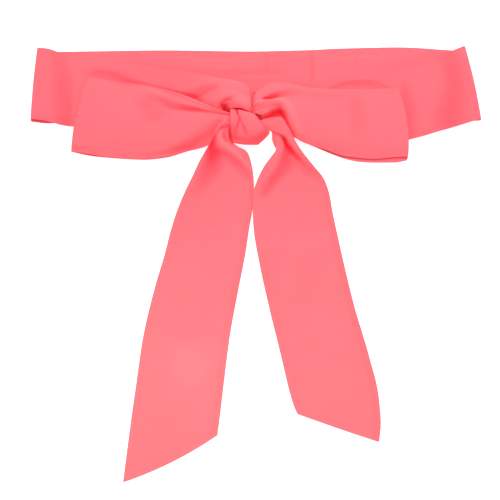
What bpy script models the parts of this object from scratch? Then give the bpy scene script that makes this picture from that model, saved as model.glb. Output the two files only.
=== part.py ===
"""A long chiffon sash, tied in a bow round nothing and laid flat on a table.

The sash is one turned tube of thin cloth, 75 mm wide. Its waist loop lies pressed flat, so its back
stretch lies under its two front stretches, which fold back at the sides. In front, two bow loops and
two tails come out of one knot. Each stretch of cloth that shows is an object of its own: a wall that
follows its rows of sections, with its main creases pressed in.

Lengths are in millimetres, measured from the middle of the knot: x to the right, y up across the
waist, z up from the table. MM turns them into metres, and PLACE moves the knot to its place, so that
the middle of the whole sash is over the origin.
"""

import math
from collections import namedtuple

import bmesh
import bpy
import numpy as np

MM = 0.001

# Driving sizes
RIBBON_WIDTH = 75.0
WALL = 1.0
FLAT = WALL  # the height of the outer face of cloth that lies on the table
SEAM_GAP = 0.3
PLACE = (-7.6, 120.1)  # the knot's middle, from the middle of the sash
FOLD_STEPS = 4  # lines of points round an end fold

# Where the back of the waist meets the turned-under ends of its front, hidden between the layers
LEFT_SEAM = -190.0
RIGHT_SEAM = 196.0

# The knot's filling: the hidden layers, as one rounded solid
CORE_MIDDLE = (-1.2, -1.0)
CORE_HALF = (9.6, 11.6)
CORE_BOTTOM = WALL + SEAM_GAP
CORE_TOP = 16.8
CORE_ROUNDNESS = 2.6  # 2 is an ellipsoid, more is boxier

CLOTH_COLOUR = (1.0, 0.21, 0.24, 1.0)
CLOTH_ROUGHNESS = 0.85
SHARP_ANGLE = math.radians(50)

# A row is one section across the cloth. It runs from a first edge to a second one: from the upper
# edge to the lower one on the waist and the loops, and from the left edge to the right one on the
# knot and the tails. z is the height of the cloth's outer face, crown the rise of its middle and bow
# the middle's shift in plan, to the left of the way across. cells is how many faces lead on from it.
Row = namedtuple("Row", "x1 y1 z1 x2 y2 z2 crown bow cells")

# The upper edge of the back of the waist, which lies flat, one ribbon's width deep
Edge = namedtuple("Edge", "x y cells")
WAIST_BACK_EDGE = [
    Edge(LEFT_SEAM, 83.2, 3),
    Edge(-75.0, 84.6, 3),
    Edge(50.0, 84.2, 2),
    Edge(98.0, 87.3, 2),
    Edge(145.0, 88.0, 2),
    Edge(RIGHT_SEAM, 84.3, 0),
]

# The front of the waist left of the knot, from the knot, where it puffs up over it, to the left fold
WAIST_LEFT_TOP = [
    Row(3.8, 36.6, 8.4, 3.9, 15.6, 10.4, 1.4, 0, 1),
    Row(2.0, 40.2, 9.0, 2.0, 15.2, 11.6, 2.8, 0, 1),
    Row(-2.0, 44.2, 9.4, -2.6, 16.6, 12.2, 4.8, 0, 2),
    Row(-8.0, 47.4, 9.2, -9.0, 18.6, 12.4, 6.2, 0, 2),
    Row(-16.0, 50.0, 8.2, -16.8, 18.6, 10.0, 6.8, 0, 2),
    Row(-24.0, 52.2, 6.0, -25.0, 14.8, 7.2, 6.8, 0, 2),
    Row(-36.0, 56.0, 3.6, -37.0, 19.6, 4.6, 4.8, 0, 2),
    Row(-47.0, 58.6, 2.8, -50.0, 23.0, 3.1, 1.6, 0, 3),
    Row(-64.5, 61.5, 2.6, -66.0, 12.0, 2.8, 0, 0, 3),
    Row(-102.5, 68.5, 2.6, -97.0, -3.0, 2.6, 0, 0, 3),
    Row(-141.0, 75.0, 2.9, -134.0, 0.0, 2.9, 0.2, 0, 3),
    Row(-160.0, 78.2, 3.4, -154.0, 2.2, 3.4, 0.2, 0, 2),
    Row(-178.0, 81.0, 3.6, -174.5, 4.8, 3.6, 0.2, 0, 2),
    Row(-191.0, 85.2, 4.0, -190.0, 8.6, 4.0, 0.2, 0, 2),
    Row(-199.6, 86.4, 3.8, -201.6, 10.0, 3.8, 0, -0.8, 0),
]
WAIST_LEFT_UNDER = [
    Row(-199.6, 86.2, 0.0, -201.6, 9.8, 0.0, 0, -0.8, 1),
    Row(LEFT_SEAM - SEAM_GAP, 83.2, 0.0, LEFT_SEAM - SEAM_GAP, 8.2, 0.0, 0, 0, 0),
]

# The front of the waist right of the knot, from the knot, where it lies low under the bow, outwards
WAIST_RIGHT_TOP = [
    Row(5.4, 42.0, 5.0, 12.0, 18.0, 4.8, 0, 0, 2),
    Row(22.0, 45.6, 4.6, 26.0, 16.0, 4.2, 0, 0, 2),
    Row(40.0, 48.5, 3.3, 44.0, 12.0, 3.0, 0, 0, 2),
    Row(59.0, 50.4, 2.8, 62.0, 6.0, 2.7, 0, 0, 3),
    Row(82.5, 54.6, 2.7, 90.0, -6.0, 2.7, 0, 0, 3),
    Row(106.5, 59.8, 2.7, 116.0, -13.0, 2.7, 0, 0, 3),
    Row(128.5, 65.3, 2.7, 139.0, -11.5, 2.7, 0, 0, 3),
    Row(150.0, 70.8, 3.0, 160.0, -6.8, 3.0, 0.2, 0, 3),
    Row(173.5, 76.8, 3.4, 182.0, 0.2, 3.4, 0.2, 0, 3),
    Row(196.0, 83.8, 3.8, 203.0, 6.8, 3.8, 0.3, 0, 2),
    Row(206.0, 88.0, 3.8, 216.9, 11.2, 3.8, 0, 1.2, 0),
]
WAIST_RIGHT_UNDER = [
    Row(206.0, 87.8, 0.0, 216.9, 11.2, 0.0, 0, 1.2, 1),
    Row(RIGHT_SEAM + SEAM_GAP, 84.3, 0.0, RIGHT_SEAM + SEAM_GAP, 9.3, 0.0, 0, 0, 0),
]

# The bow's loops, each from the knot to its end fold, and back to the knot underneath
LOOP_LEFT_TOP = [
    Row(-12.6, 12.0, 11.6, -12.6, 4.0, 12.5, 0.8, 0, 1),
    Row(-17.5, 13.8, 12.0, -17.5, 1.0, 12.2, 1.6, 0, 2),
    Row(-27.0, 16.6, 11.4, -27.0, -9.2, 8.0, 3.4, 0, 3),
    Row(-41.0, 23.0, 10.6, -39.5, -18.0, 6.0, 4.4, 0, 3),
    Row(-55.5, 30.4, 10.4, -55.5, -21.8, 6.0, 4.4, 0, 3),
    Row(-77.0, 38.6, 10.0, -76.5, -28.0, 6.4, 3.6, 0, 3),
    Row(-99.0, 44.5, 9.4, -96.0, -29.6, 6.8, 2.8, 0, 3),
    Row(-128.0, 48.2, 8.4, -126.0, -28.2, 7.0, 1.6, 0, 2),
    Row(-142.0, 51.4, 7.8, -151.0, -25.2, 7.2, 0.6, -1.8, 2),
    Row(-147.6, 53.0, 7.4, -162.8, -23.4, 7.2, 0, -3.4, 0),
]
LOOP_LEFT_UNDER = [
    Row(-149.8, 56.6, 4.0, -162.8, -23.0, 4.0, 0, -3.4, 1),
    Row(-143.0, 61.6, 4.0, -146.0, -26.4, 3.8, 0, -1.6, 2),
    Row(-128.0, 60.8, 3.8, -126.0, -27.8, 3.6, 0, 0, 2),
    Row(-114.0, 53.0, 3.6, -112.0, -28.8, 3.4, 0, 0, 2),
    Row(-99.0, 43.0, 3.5, -96.0, -29.2, 3.4, 0, 0, 3),
    Row(-77.0, 36.0, 3.6, -76.5, -27.6, 3.2, 0, 0, 3),
    Row(-55.5, 24.0, 4.4, -55.5, -21.2, 3.0, 0, 0, 2),
    Row(-41.0, 17.0, 5.2, -39.5, -16.7, 2.8, 0, 0, 2),
    Row(-27.0, 12.0, 6.6, -27.0, -7.5, 4.6, 0, 0, 2),
    Row(-12.6, 10.6, 8.0, -12.6, 5.0, 8.0, 0, 0, 0),
]
LOOP_RIGHT_TOP = [
    Row(4.4, 30.6, 9.2, 5.0, 13.6, 11.2, 1.0, 0, 1),
    Row(6.2, 32.4, 12.0, 7.4, 13.0, 12.0, 1.6, 0, 1),
    Row(10.0, 36.0, 13.0, 13.4, 10.6, 11.2, 1.8, 0, 2),
    Row(14.4, 39.6, 13.0, 20.0, 6.6, 10.6, 2.0, 0, 2),
    Row(21.0, 43.0, 12.4, 29.0, 0.6, 9.4, 2.8, 0, 2),
    Row(30.0, 44.8, 12.0, 39.0, -6.0, 8.4, 3.8, 0, 3),
    Row(41.0, 43.6, 11.6, 51.0, -14.0, 8.0, 4.4, 0, 3),
    Row(58.0, 40.0, 11.0, 68.0, -20.2, 7.8, 4.4, 0, 3),
    Row(82.0, 38.8, 10.2, 93.0, -27.2, 7.6, 3.4, 0, 3),
    Row(108.0, 39.4, 9.0, 116.0, -29.0, 7.6, 2.4, 0, 3),
    Row(130.0, 40.6, 7.8, 136.0, -29.0, 7.4, 0.8, 2.6, 2),
    Row(140.3, 41.2, 7.4, 145.8, -29.0, 7.2, 0, 4.0, 0),
]
LOOP_RIGHT_UNDER = [
    Row(140.3, 40.4, 3.7, 145.8, -30.4, 3.7, 0, 4.0, 1),
    Row(130.0, 44.4, 3.6, 136.0, -32.0, 3.6, 0, 2.6, 2),
    Row(112.0, 52.0, 3.4, 118.0, -32.0, 3.4, 0, 0, 2),
    Row(97.0, 51.2, 3.4, 104.0, -31.4, 3.4, 0, 0, 2),
    Row(84.0, 47.6, 3.4, 93.0, -29.2, 3.4, 0, 0, 2),
    Row(68.0, 39.6, 3.6, 77.0, -23.6, 3.4, 0, 0, 2),
    Row(55.0, 36.6, 3.9, 66.0, -18.8, 3.4, 0, 0, 2),
    Row(41.0, 36.0, 5.0, 54.0, -13.4, 3.4, 0, 0, 2),
    Row(27.0, 34.0, 6.2, 37.0, -2.5, 3.4, 0, 0, 2),
    Row(14.0, 29.0, 6.6, 20.0, 8.4, 3.8, 0, 0, 1),
    Row(5.4, 24.0, 6.4, 8.6, 13.0, 5.2, 0, 0, 0),
]

# The band that wraps the knot, from behind its upper side over the front to behind its lower side
KNOT_WRAP = [
    Row(-14.4, 17.0, 5.0, 3.4, 12.8, 5.0, 0, 0, 2),
    Row(-15.4, 16.8, 12.4, 4.2, 12.6, 12.0, 0.8, 0, 2),
    Row(-16.2, 14.4, 16.6, 5.8, 10.4, 16.2, 2.2, 0, 2),
    Row(-16.1, 6.0, 17.6, 9.8, 4.8, 17.8, 3.2, 0, 2),
    Row(-15.8, -1.6, 17.4, 15.2, -1.6, 17.2, 3.6, 0, 2),
    Row(-15.2, -8.0, 16.0, 20.6, -8.2, 15.0, 3.8, 0, 2),
    Row(-13.8, -12.6, 12.8, 16.2, -13.6, 12.0, 3.6, -0.6, 2),
    Row(-12.2, -16.6, 9.4, 10.6, -17.8, 8.2, 1.4, -1.2, 2),
    Row(-10.6, -13.2, 2.6, 9.4, -14.2, 2.6, 0, -1.0, 0),
]

# The tails, from the knot to their slanted ends
TAIL_LEFT = [
    Row(-11.6, 1.2, 13.6, -11.8, -9.6, 9.4, 0.6, 0, 1),
    Row(-15.8, 2.6, 14.4, -13.6, -13.0, 8.8, 1.0, -0.4, 1),
    Row(-20.6, 4.4, 15.0, -13.6, -16.8, 8.0, 1.2, -1.0, 1),
    Row(-25.4, 2.2, 14.6, -9.6, -19.4, 7.8, 1.2, -2.0, 1),
    Row(-29.6, -4.4, 13.4, -4.0, -21.4, 7.2, 1.0, -2.6, 2),
    Row(-33.2, -12.4, 12.0, 0.2, -25.4, 6.4, 0.8, -2.4, 2),
    Row(-37.2, -21.5, 11.2, 2.8, -32.6, 5.2, 0.8, -1.2, 2),
    Row(-44.4, -33.6, 8.6, 4.6, -41.4, 3.6, 0.8, 0, 2),
    Row(-50.0, -46.0, 6.0, 5.6, -52.0, 2.0, 0.6, 0, 2),
    Row(-57.3, -61.5, 3.4, 5.8, -66.0, 1.2, 0.4, 0, 2),
    Row(-64.5, -80.0, 1.6, 3.8, -82.5, FLAT, 0.2, 0, 1),
    Row(-70.0, -99.0, FLAT, 1.0, -99.5, FLAT, 0, 0, 1),
    Row(-74.2, -118.5, FLAT, -1.6, -118.5, FLAT, 0, 0, 2),
    Row(-83.4, -155.0, FLAT, -8.0, -154.0, FLAT, 0, 0, 3),
    Row(-92.4, -200.0, FLAT, -15.6, -198.0, FLAT, 0, 0, 3),
    Row(-97.5, -245.0, FLAT, -20.6, -240.0, FLAT, 0, 0, 2),
    Row(-101.6, -283.0, FLAT, -23.4, -266.0, FLAT, 0, 0, 2),
    Row(-105.9, -328.4, FLAT, -26.0, -287.8, FLAT, 0, -3.2, 0),
]
TAIL_RIGHT = [
    Row(8.8, -3.0, 12.4, 8.4, 4.0, 13.0, 0.6, 0, 1),
    Row(15.0, -4.8, 13.4, 13.6, 5.8, 14.6, 1.2, 0, 1),
    Row(19.4, -5.4, 13.4, 21.6, 7.6, 15.6, 1.4, 0, 1),
    Row(22.4, -6.6, 12.4, 30.4, 8.6, 15.6, 1.0, 0, 2),
    Row(22.3, -12.2, 10.6, 36.2, -0.4, 14.8, 0.8, 0, 2),
    Row(24.2, -18.8, 9.4, 40.8, -8.8, 12.8, 0.6, 0, 1),
    Row(25.9, -22.9, 9.0, 44.8, -16.4, 10.8, 0.6, 0, 2),
    Row(22.2, -28.4, 8.0, 49.4, -23.6, 9.6, 0.4, 0, 2),
    Row(15.0, -38.0, 5.8, 59.4, -36.6, 7.4, 0.4, 0, 2),
    Row(8.8, -50.6, 4.2, 70.4, -51.2, 5.2, 0.4, 0, 2),
    Row(5.0, -64.0, 3.0, 74.9, -65.2, 3.2, 0.4, 0, 2),
    Row(4.4, -80.0, 2.6, 77.3, -81.0, 1.6, 0.2, 0, 2),
    Row(5.4, -99.0, 2.2, 80.8, -100.0, FLAT, 0, 0, 1),
    Row(10.3, -130.0, FLAT, 86.4, -130.0, FLAT, 0, 0, 2),
    Row(19.0, -172.5, FLAT, 95.2, -172.5, FLAT, 0, 0, 3),
    Row(29.0, -216.0, FLAT, 106.3, -216.0, FLAT, 0, 0, 3),
    Row(36.6, -250.0, FLAT, 113.9, -254.0, FLAT, 0, 0, 2),
    Row(39.8, -261.5, FLAT, 115.0, -276.0, FLAT, 0, 0, 1),
    Row(43.0, -269.2, FLAT, 113.0, -293.8, FLAT, 0, -0.4, 0),
]

# A crease runs straight from one place to another, seen from above. width is its half width, and
# rise is how far it stands up at its middle, or how far it is pressed down where it is below zero.
Crease = namedtuple("Crease", "x1 y1 x2 y2 width rise")
CREASE_END_SHARE = 0.35  # how much of its rise a crease keeps at its two ends

WAIST_LEFT_CREASES = [
    Crease(-176, 80, -167, 6, 11.0, -1.0),
    Crease(-56, 38, -32, 45, 8.0, -1.6),
    Crease(-25, 22, -10, 26.6, 4.5, -2.0),
    Crease(-23.6, 22.4, -18.4, 17.4, 4.5, -5.0),
    Crease(4, 34, 3, 18, 3.0, -1.0),
]
WAIST_RIGHT_CREASES = [
    Crease(194, 82, 197, 10, 12.0, -0.9),
]
LOOP_LEFT_CREASES = [
    Crease(-28, 13.6, -66, 21, 4.5, -2.6),
    Crease(-24, 15.6, -90, 37, 5.5, 1.0),
    Crease(-26, 0, -70, -23, 7.0, -1.6),
]
LOOP_RIGHT_CREASES = [
    Crease(9, 27, 44, 33.5, 5.5, -3.6),
    Crease(10, 23.6, 33, 24.4, 5.0, 1.8),
    Crease(33, 24.4, 50, -8, 6.0, 1.6),
    Crease(10, 11.4, 30, 14.8, 5.5, -4.5),
    Crease(30.5, 13.6, 43, -7, 5.5, -4.0),
]
LOOP_LEFT_DROOP = [Crease(-185, -27, -45, -24, 17.0, -2.4)]  # both layers, towards the table
LOOP_RIGHT_DROOP = [Crease(172, -30, 50, -22, 14.0, -2.4)]
KNOT_CREASES = [
    Crease(-10.4, 15, -11.4, -12, 2.8, -1.6),
    Crease(-6, 0, -1, -12.6, 2.8, -1.4),
]
TAIL_LEFT_CREASES = [
    Crease(-33, -15, -39, -46, 8.0, -3.6),
    Crease(-25, -11, -4, -33, 5.0, 1.8),
    Crease(-17, -3, -17.4, -14.4, 3.0, -2.0),
]
TAIL_RIGHT_CREASES = [
    Crease(26, -9, 44, -30, 5.0, -4.0),
    Crease(35.5, -15, 28, -45, 8.0, -3.2),
    Crease(27, -12, 22, -34, 4.0, 0.8),
]


def clear_scene():
    for obj in list(bpy.data.objects):
        bpy.data.objects.remove(obj, do_unlink=True)


def smooth_values(places, values, at):
    """Values at other places, on a smooth curve through the rows that never swings past them."""
    steps = np.diff(places)[:, None]
    slopes = np.diff(values, axis=0) / steps
    tangents = np.zeros_like(values)
    tangents[0], tangents[-1] = slopes[0], slopes[-1]
    before, after = slopes[:-1], slopes[1:]
    same_way = before * after > 0
    weight_before = 2 * steps[1:] + steps[:-1]
    weight_after = steps[1:] + 2 * steps[:-1]
    safe_before = np.where(same_way, before, 1.0)
    safe_after = np.where(same_way, after, 1.0)
    mean = (weight_before + weight_after) / (weight_before / safe_before + weight_after / safe_after)
    tangents[1:-1] = np.where(same_way, mean, 0.0)
    start = np.clip(np.searchsorted(places, at, side="right") - 1, 0, len(places) - 2)
    length = (places[start + 1] - places[start])[:, None]
    share = ((at - places[start])[:, None]) / length
    return (
        (2 * share**3 - 3 * share**2 + 1) * values[start]
        + (share**3 - 2 * share**2 + share) * length * tangents[start]
        + (3 * share**2 - 2 * share**3) * values[start + 1]
        + (share**3 - share**2) * length * tangents[start + 1]
    )


def rows_of_points(rows, across):
    """The points of a run of cloth, one line of them for each place along it."""
    table = np.array([row[:8] for row in rows], float)
    middles = (table[:, 0:3] + table[:, 3:6]) / 2
    places = np.concatenate([[0.0], np.cumsum(np.linalg.norm(np.diff(middles, axis=0), axis=1))])
    at = [
        places[i] + (places[i + 1] - places[i]) * step / rows[i].cells
        for i in range(len(rows) - 1)
        for step in range(rows[i].cells)
    ]
    sections = smooth_values(places, table, np.array(at + [places[-1]]))
    share = np.linspace(0.0, 1.0, across + 1)[None, :, None]
    first, second = sections[:, None, 0:3], sections[:, None, 3:6]
    points = first + (second - first) * share
    arch = 4 * share[..., 0] * (1 - share[..., 0])
    way = (second - first)[:, 0, :2]
    left = np.stack([-way[:, 1], way[:, 0]], axis=1) / np.linalg.norm(way, axis=1)[:, None]
    points[..., 2] += sections[:, 6:7] * arch
    points[..., :2] += left[:, None, :] * (sections[:, 7:8] * arch)[..., None]
    return points


def pressed(points, creases):
    """The run with its creases, which fade towards their sides and their two ends."""
    for crease in creases:
        start = np.array([crease.x1, crease.y1], float)
        way = np.array([crease.x2, crease.y2], float) - start
        share = np.clip(((points[..., :2] - start) @ way) / (way @ way), 0.0, 1.0)
        beside = np.linalg.norm(points[..., :2] - start - share[..., None] * way, axis=-1)
        fade = 0.5 + 0.5 * np.cos(np.pi * np.clip(beside / crease.width, 0.0, 1.0))
        along = CREASE_END_SHARE + (1 - CREASE_END_SHARE) * np.sin(np.pi * share)
        points[..., 2] += crease.rise * fade * along
    return points


def turn(upper, lower):
    """The half round of an end fold, from the last line of the upper run to the lower run's first."""
    middle, half = (upper + lower) / 2, (upper - lower) / 2
    outward = np.cross(upper[-1] - upper[0], half)
    outward[:, 2] = 0.0
    outward /= np.linalg.norm(outward, axis=1)[:, None]
    away = np.sign(outward[:, 0:1]) * np.sign(middle[:, 0:1])
    outward *= away * np.linalg.norm(half, axis=1)[:, None]
    angles = [math.pi * (step + 1) / (FOLD_STEPS + 1) for step in range(FOLD_STEPS)]
    return np.array([middle + half * math.cos(a) + outward * math.sin(a) for a in angles])


def cloth_material(name):
    material = bpy.data.materials.new(name + "_chiffon")
    material.use_nodes = True
    shader = material.node_tree.nodes["Principled BSDF"]
    shader.inputs["Base Color"].default_value = CLOTH_COLOUR
    shader.inputs["Roughness"].default_value = CLOTH_ROUGHNESS
    shader.inputs["Metallic"].default_value = 0.0
    return material


def add_object(name, mesh, collection):
    mesh.materials.append(cloth_material(name))
    mesh.shade_smooth()
    mesh.set_sharp_from_angle(angle=SHARP_ANGLE)
    obj = bpy.data.objects.new(name, mesh)
    obj.location = (PLACE[0] * MM, PLACE[1] * MM, 0.0)
    collection.objects.link(obj)
    return obj


def wall_of_cloth(name, points, collection):
    """A wall under the given lines of points, whose first lines face up on their outer side."""
    along, across = points.shape[0] - 1, points.shape[1] - 1
    mesh = bpy.data.meshes.new(name)
    grid = bmesh.new()
    bmesh.ops.create_grid(grid, x_segments=along, y_segments=across, size=0.5)
    for vertex in grid.verts:
        line = round((vertex.co.x + 0.5) * along)
        place = round((vertex.co.y + 0.5) * across)
        vertex.co = points[line, place] * MM
    onward = points[2, across // 2] - points[1, across // 2]
    sideways = points[1, -1] - points[1, 0]
    if np.cross(onward, sideways)[2] < 0:
        bmesh.ops.reverse_faces(grid, faces=grid.faces)
    grid.to_mesh(mesh)
    grid.free()
    obj = add_object(name, mesh, collection)
    wall = obj.modifiers.new("Wall", "SOLIDIFY")
    wall.thickness = WALL * MM
    wall.offset = -1.0
    return obj


def folded_band(name, top, under, creases, droop, across, collection):
    """A band that runs out, folds back at its end and runs back underneath."""
    upper = pressed(rows_of_points(top, across), creases + droop)
    lower = pressed(rows_of_points(under, across), droop)
    fold = turn(upper[-1], lower[0])
    return wall_of_cloth(name, np.concatenate([upper, fold, lower]), collection)


def open_band(name, rows, creases, across, collection):
    """A band that is open at both its ends."""
    return wall_of_cloth(name, pressed(rows_of_points(rows, across), creases), collection)


def flat_rows(edge):
    """The rows of cloth that lies flat on the table, under the given upper edge."""
    return [Row(x, y, FLAT, x, y - RIBBON_WIDTH, FLAT, 0, 0, cells) for x, y, cells in edge]


def knot_core(collection):
    """The knot's hidden layers: a rounded lump with a flat base, just inside the band that wraps it."""
    mesh = bpy.data.meshes.new("knot_core")
    ball = bmesh.new()
    bmesh.ops.create_uvsphere(ball, u_segments=20, v_segments=12, radius=1.0)
    middle_height = (CORE_TOP + CORE_BOTTOM) / 2
    half = (*CORE_HALF, (CORE_TOP - CORE_BOTTOM) / 2)
    for vertex in ball.verts:
        reach = sum(abs(value) ** CORE_ROUNDNESS for value in vertex.co) ** (-1 / CORE_ROUNDNESS)
        x, y, z = (value * reach * side for value, side in zip(vertex.co, half))
        vertex.co = ((CORE_MIDDLE[0] + x) * MM, (CORE_MIDDLE[1] + y) * MM, (middle_height + z) * MM)
    ball.to_mesh(mesh)
    ball.free()
    return add_object("knot_core", mesh, collection)


def main():
    clear_scene()
    sash = bpy.data.collections.new("chiffon_sash")
    bpy.context.scene.collection.children.link(sash)
    open_band("waist_back", flat_rows(WAIST_BACK_EDGE), [], 1, sash)
    folded_band("waist_front_left", WAIST_LEFT_TOP, WAIST_LEFT_UNDER, WAIST_LEFT_CREASES, [], 14, sash)
    folded_band("waist_front_right", WAIST_RIGHT_TOP, WAIST_RIGHT_UNDER, WAIST_RIGHT_CREASES, [], 10, sash)
    folded_band("bow_loop_left", LOOP_LEFT_TOP, LOOP_LEFT_UNDER, LOOP_LEFT_CREASES, LOOP_LEFT_DROOP, 18, sash)
    folded_band(
        "bow_loop_right", LOOP_RIGHT_TOP, LOOP_RIGHT_UNDER, LOOP_RIGHT_CREASES, LOOP_RIGHT_DROOP, 18, sash
    )
    knot_core(sash)
    open_band("knot_wrap", KNOT_WRAP, KNOT_CREASES, 16, sash)
    open_band("tail_left", TAIL_LEFT, TAIL_LEFT_CREASES, 14, sash)
    open_band("tail_right", TAIL_RIGHT, TAIL_RIGHT_CREASES, 14, sash)


main()
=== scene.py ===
"""A long chiffon sash, tied in a bow and laid flat, with its cloth, its light and its camera.

The sash is one turned tube of thin cloth. Each stretch of it that shows is a thin shell, made of one
grid that a table of sections lays out and that folds and ripples then shape. Its grid's UV map runs
along the ribbon and across it, in metres, so the weave follows the cloth.

Lengths in the tables are in millimetres, measured from the middle of the knot: x to the right, y up
across the waist, z up from the table.
"""

import math
from collections import namedtuple

import bpy
import numpy as np
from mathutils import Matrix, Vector, kdtree, noise


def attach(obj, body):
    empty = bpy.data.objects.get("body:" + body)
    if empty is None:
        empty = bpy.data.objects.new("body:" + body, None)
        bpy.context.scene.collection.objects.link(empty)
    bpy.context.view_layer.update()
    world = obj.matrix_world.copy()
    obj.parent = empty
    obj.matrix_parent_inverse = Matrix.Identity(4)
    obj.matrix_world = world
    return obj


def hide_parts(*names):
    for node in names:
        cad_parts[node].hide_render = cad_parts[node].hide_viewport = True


bl_info = {
    "name": "Chiffon Sash",
    "version": (1, 0, 0),
    "blender": (4, 5, 0),
    "location": "View3D > Sidebar > Sash",
    "description": "Lays out a chiffon sash tied in a bow, with its folds, its weave and its light",
    "category": "Add Mesh",
}

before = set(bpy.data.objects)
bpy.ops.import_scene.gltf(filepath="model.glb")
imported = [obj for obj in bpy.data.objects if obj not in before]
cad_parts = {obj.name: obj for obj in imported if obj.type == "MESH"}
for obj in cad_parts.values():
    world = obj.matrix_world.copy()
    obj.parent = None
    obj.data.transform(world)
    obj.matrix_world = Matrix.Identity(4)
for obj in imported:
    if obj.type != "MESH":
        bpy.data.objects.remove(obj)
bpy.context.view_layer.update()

MM = 0.001
KNOT = np.array([-7.6, 120.1, 0.0])  # the knot's middle, from the middle of the sash

# The ribbon
RIBBON_WIDTH = 75.0
WALL = 0.7  # two plies of chiffon, one on the other
FLAT = WALL  # the height of the outer face of cloth that lies on the table
SEAM_ALLOWANCE = 7.0  # the sewn strip inside the tube, along one edge
CRINKLE_SIZE = 4.0  # of the uneven crinkle of the crepe yarns
LEFT_SEAM = -190.0  # where the back of the waist ends, under the end folds of its fronts
RIGHT_SEAM = 196.0
SEAM_GAP = 0.2
CLEARANCE = 0.25  # between cloth and the cloth that it lies on
NEAR_ENOUGH = 1.2  # from a point to the cloth below it, as seen from above

# How finely the cloth is laid out
FINE_PLACES = 800  # at which the spacing of the lines is worked out
FINE_REACH = 30.0  # from the knot, with lines as close as near the knot
FINE_FADE = 70.0  # further on, over which they spread out to their widest
FEWEST_LINES = 3
FOLD_STEPS = 9  # lines of points round an end fold
POINTS_PER_CREST = 3  # on the smooth line that a fold follows
SMOOTH_ANGLE = math.radians(60)

# Laid cloth's ripple: lengths of its long and short waves across x and y, and how they are mixed
LONG_WAVES = (34.0, 26.0)
SHORT_WAVES = (13.0, 11.0)
SHORT_SHARE = 0.4
LAYER_STEP = 0.7  # keeps the two kinds of waves from repeating each other
RIPPLE_MEAN = 0.5
RIPPLE_SWING = 0.7
RIPPLE_FADE = 12.0  # it fades out over the last twelfth of a run, before the end fold

# How the colour follows the folds, as painted shade down in them and painted light on their heights, and
# the cloth's own uneven dye, weave and seam
DEEPEST = 6.0  # how far down a fold has its deepest colour
DEEPENING = 0.8  # below 1, the colour deepens early on the way down
SEAM_SHARPNESS = 1500.0  # how fast the seam's mark sets in, for each metre
BLOOM_SHARE = 0.16  # how far uneven dye deepens the colour
GAP_SHARE = 0.12  # the same, for the gaps between threads
SEAM_SHARE = 0.06  # the same, for the seam allowance
ROUGHNESS = 0.74  # in the hollows of the crinkle
CRINKLE_ROUGHNESS = 0.16  # what is added to it on the crinkle's heights

# A row is one section across the cloth. It runs from a first edge to a second one: from the upper
# edge to the lower one on the waist and the loops, and from the left edge to the right one on the
# knot and the tails. z is the height of the cloth's outer face, which is its underside where it has
# turned back. crown is the rise of its middle and bow the middle's shift in plan, to the left of the
# way across.
Row = namedtuple("Row", "x1 y1 z1 x2 y2 z2 crown bow")

WAIST_BACK = [
    Row(LEFT_SEAM, 83.2, FLAT, LEFT_SEAM, 8.2, FLAT, 0, 0),
    Row(-75.0, 85.0, FLAT, -75.0, 10.0, FLAT, 0, 0),
    Row(2.0, 83.9, FLAT, 2.0, 8.9, FLAT, 0, 0),
    Row(50.0, 85.0, FLAT, 50.0, 10.0, FLAT, 0, 0),
    Row(98.0, 87.3, FLAT, 98.0, 12.3, FLAT, 0, 0),
    Row(145.0, 88.2, FLAT, 145.0, 13.2, FLAT, 0, 0),
    Row(RIGHT_SEAM, 84.9, FLAT, RIGHT_SEAM, 9.9, FLAT, 0, 0),
]

# The front of the waist left of the knot, from the knot, where it puffs up over it, to the left fold
WAIST_LEFT_TOP = [
    Row(3.8, 36.6, 8.4, 3.9, 15.6, 10.4, 1.4, 0),
    Row(2.0, 40.2, 9.0, 2.0, 15.2, 11.6, 2.8, 0),
    Row(-2.0, 44.2, 9.4, -2.6, 16.6, 12.2, 4.8, 0),
    Row(-8.0, 47.4, 9.2, -9.0, 18.6, 12.4, 6.2, 0),
    Row(-16.0, 50.0, 8.2, -16.8, 18.6, 10.0, 6.8, 0),
    Row(-24.0, 52.2, 6.0, -25.0, 14.8, 7.2, 6.8, 0),
    Row(-36.0, 56.0, 3.6, -37.0, 19.6, 4.6, 4.8, 0),
    Row(-47.0, 58.6, 2.8, -50.0, 23.0, 3.1, 1.6, 0),
    Row(-64.5, 61.5, 2.6, -66.0, 12.0, 2.8, 0, 0),
    Row(-102.5, 68.5, 2.6, -97.0, -3.0, 2.6, 0, 0),
    Row(-141.0, 75.0, 2.9, -134.0, 0.0, 2.9, 0.2, 0),
    Row(-160.0, 78.2, 3.4, -154.0, 2.2, 3.4, 0.2, 0),
    Row(-178.0, 81.0, 3.6, -174.5, 5.6, 3.6, 0.2, 0),
    Row(-191.0, 85.2, 4.0, -190.0, 9.6, 4.0, 0.2, 0),
    Row(-199.6, 86.4, 3.8, -201.6, 11.4, 3.8, 0, -0.8),
]
WAIST_LEFT_UNDER = [
    Row(-199.6, 86.2, 0.0, -201.6, 9.8, 0.0, 0, -0.8),
    Row(LEFT_SEAM - SEAM_GAP, 83.2, 0.0, LEFT_SEAM - SEAM_GAP, 8.2, 0.0, 0, 0),
]

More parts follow.
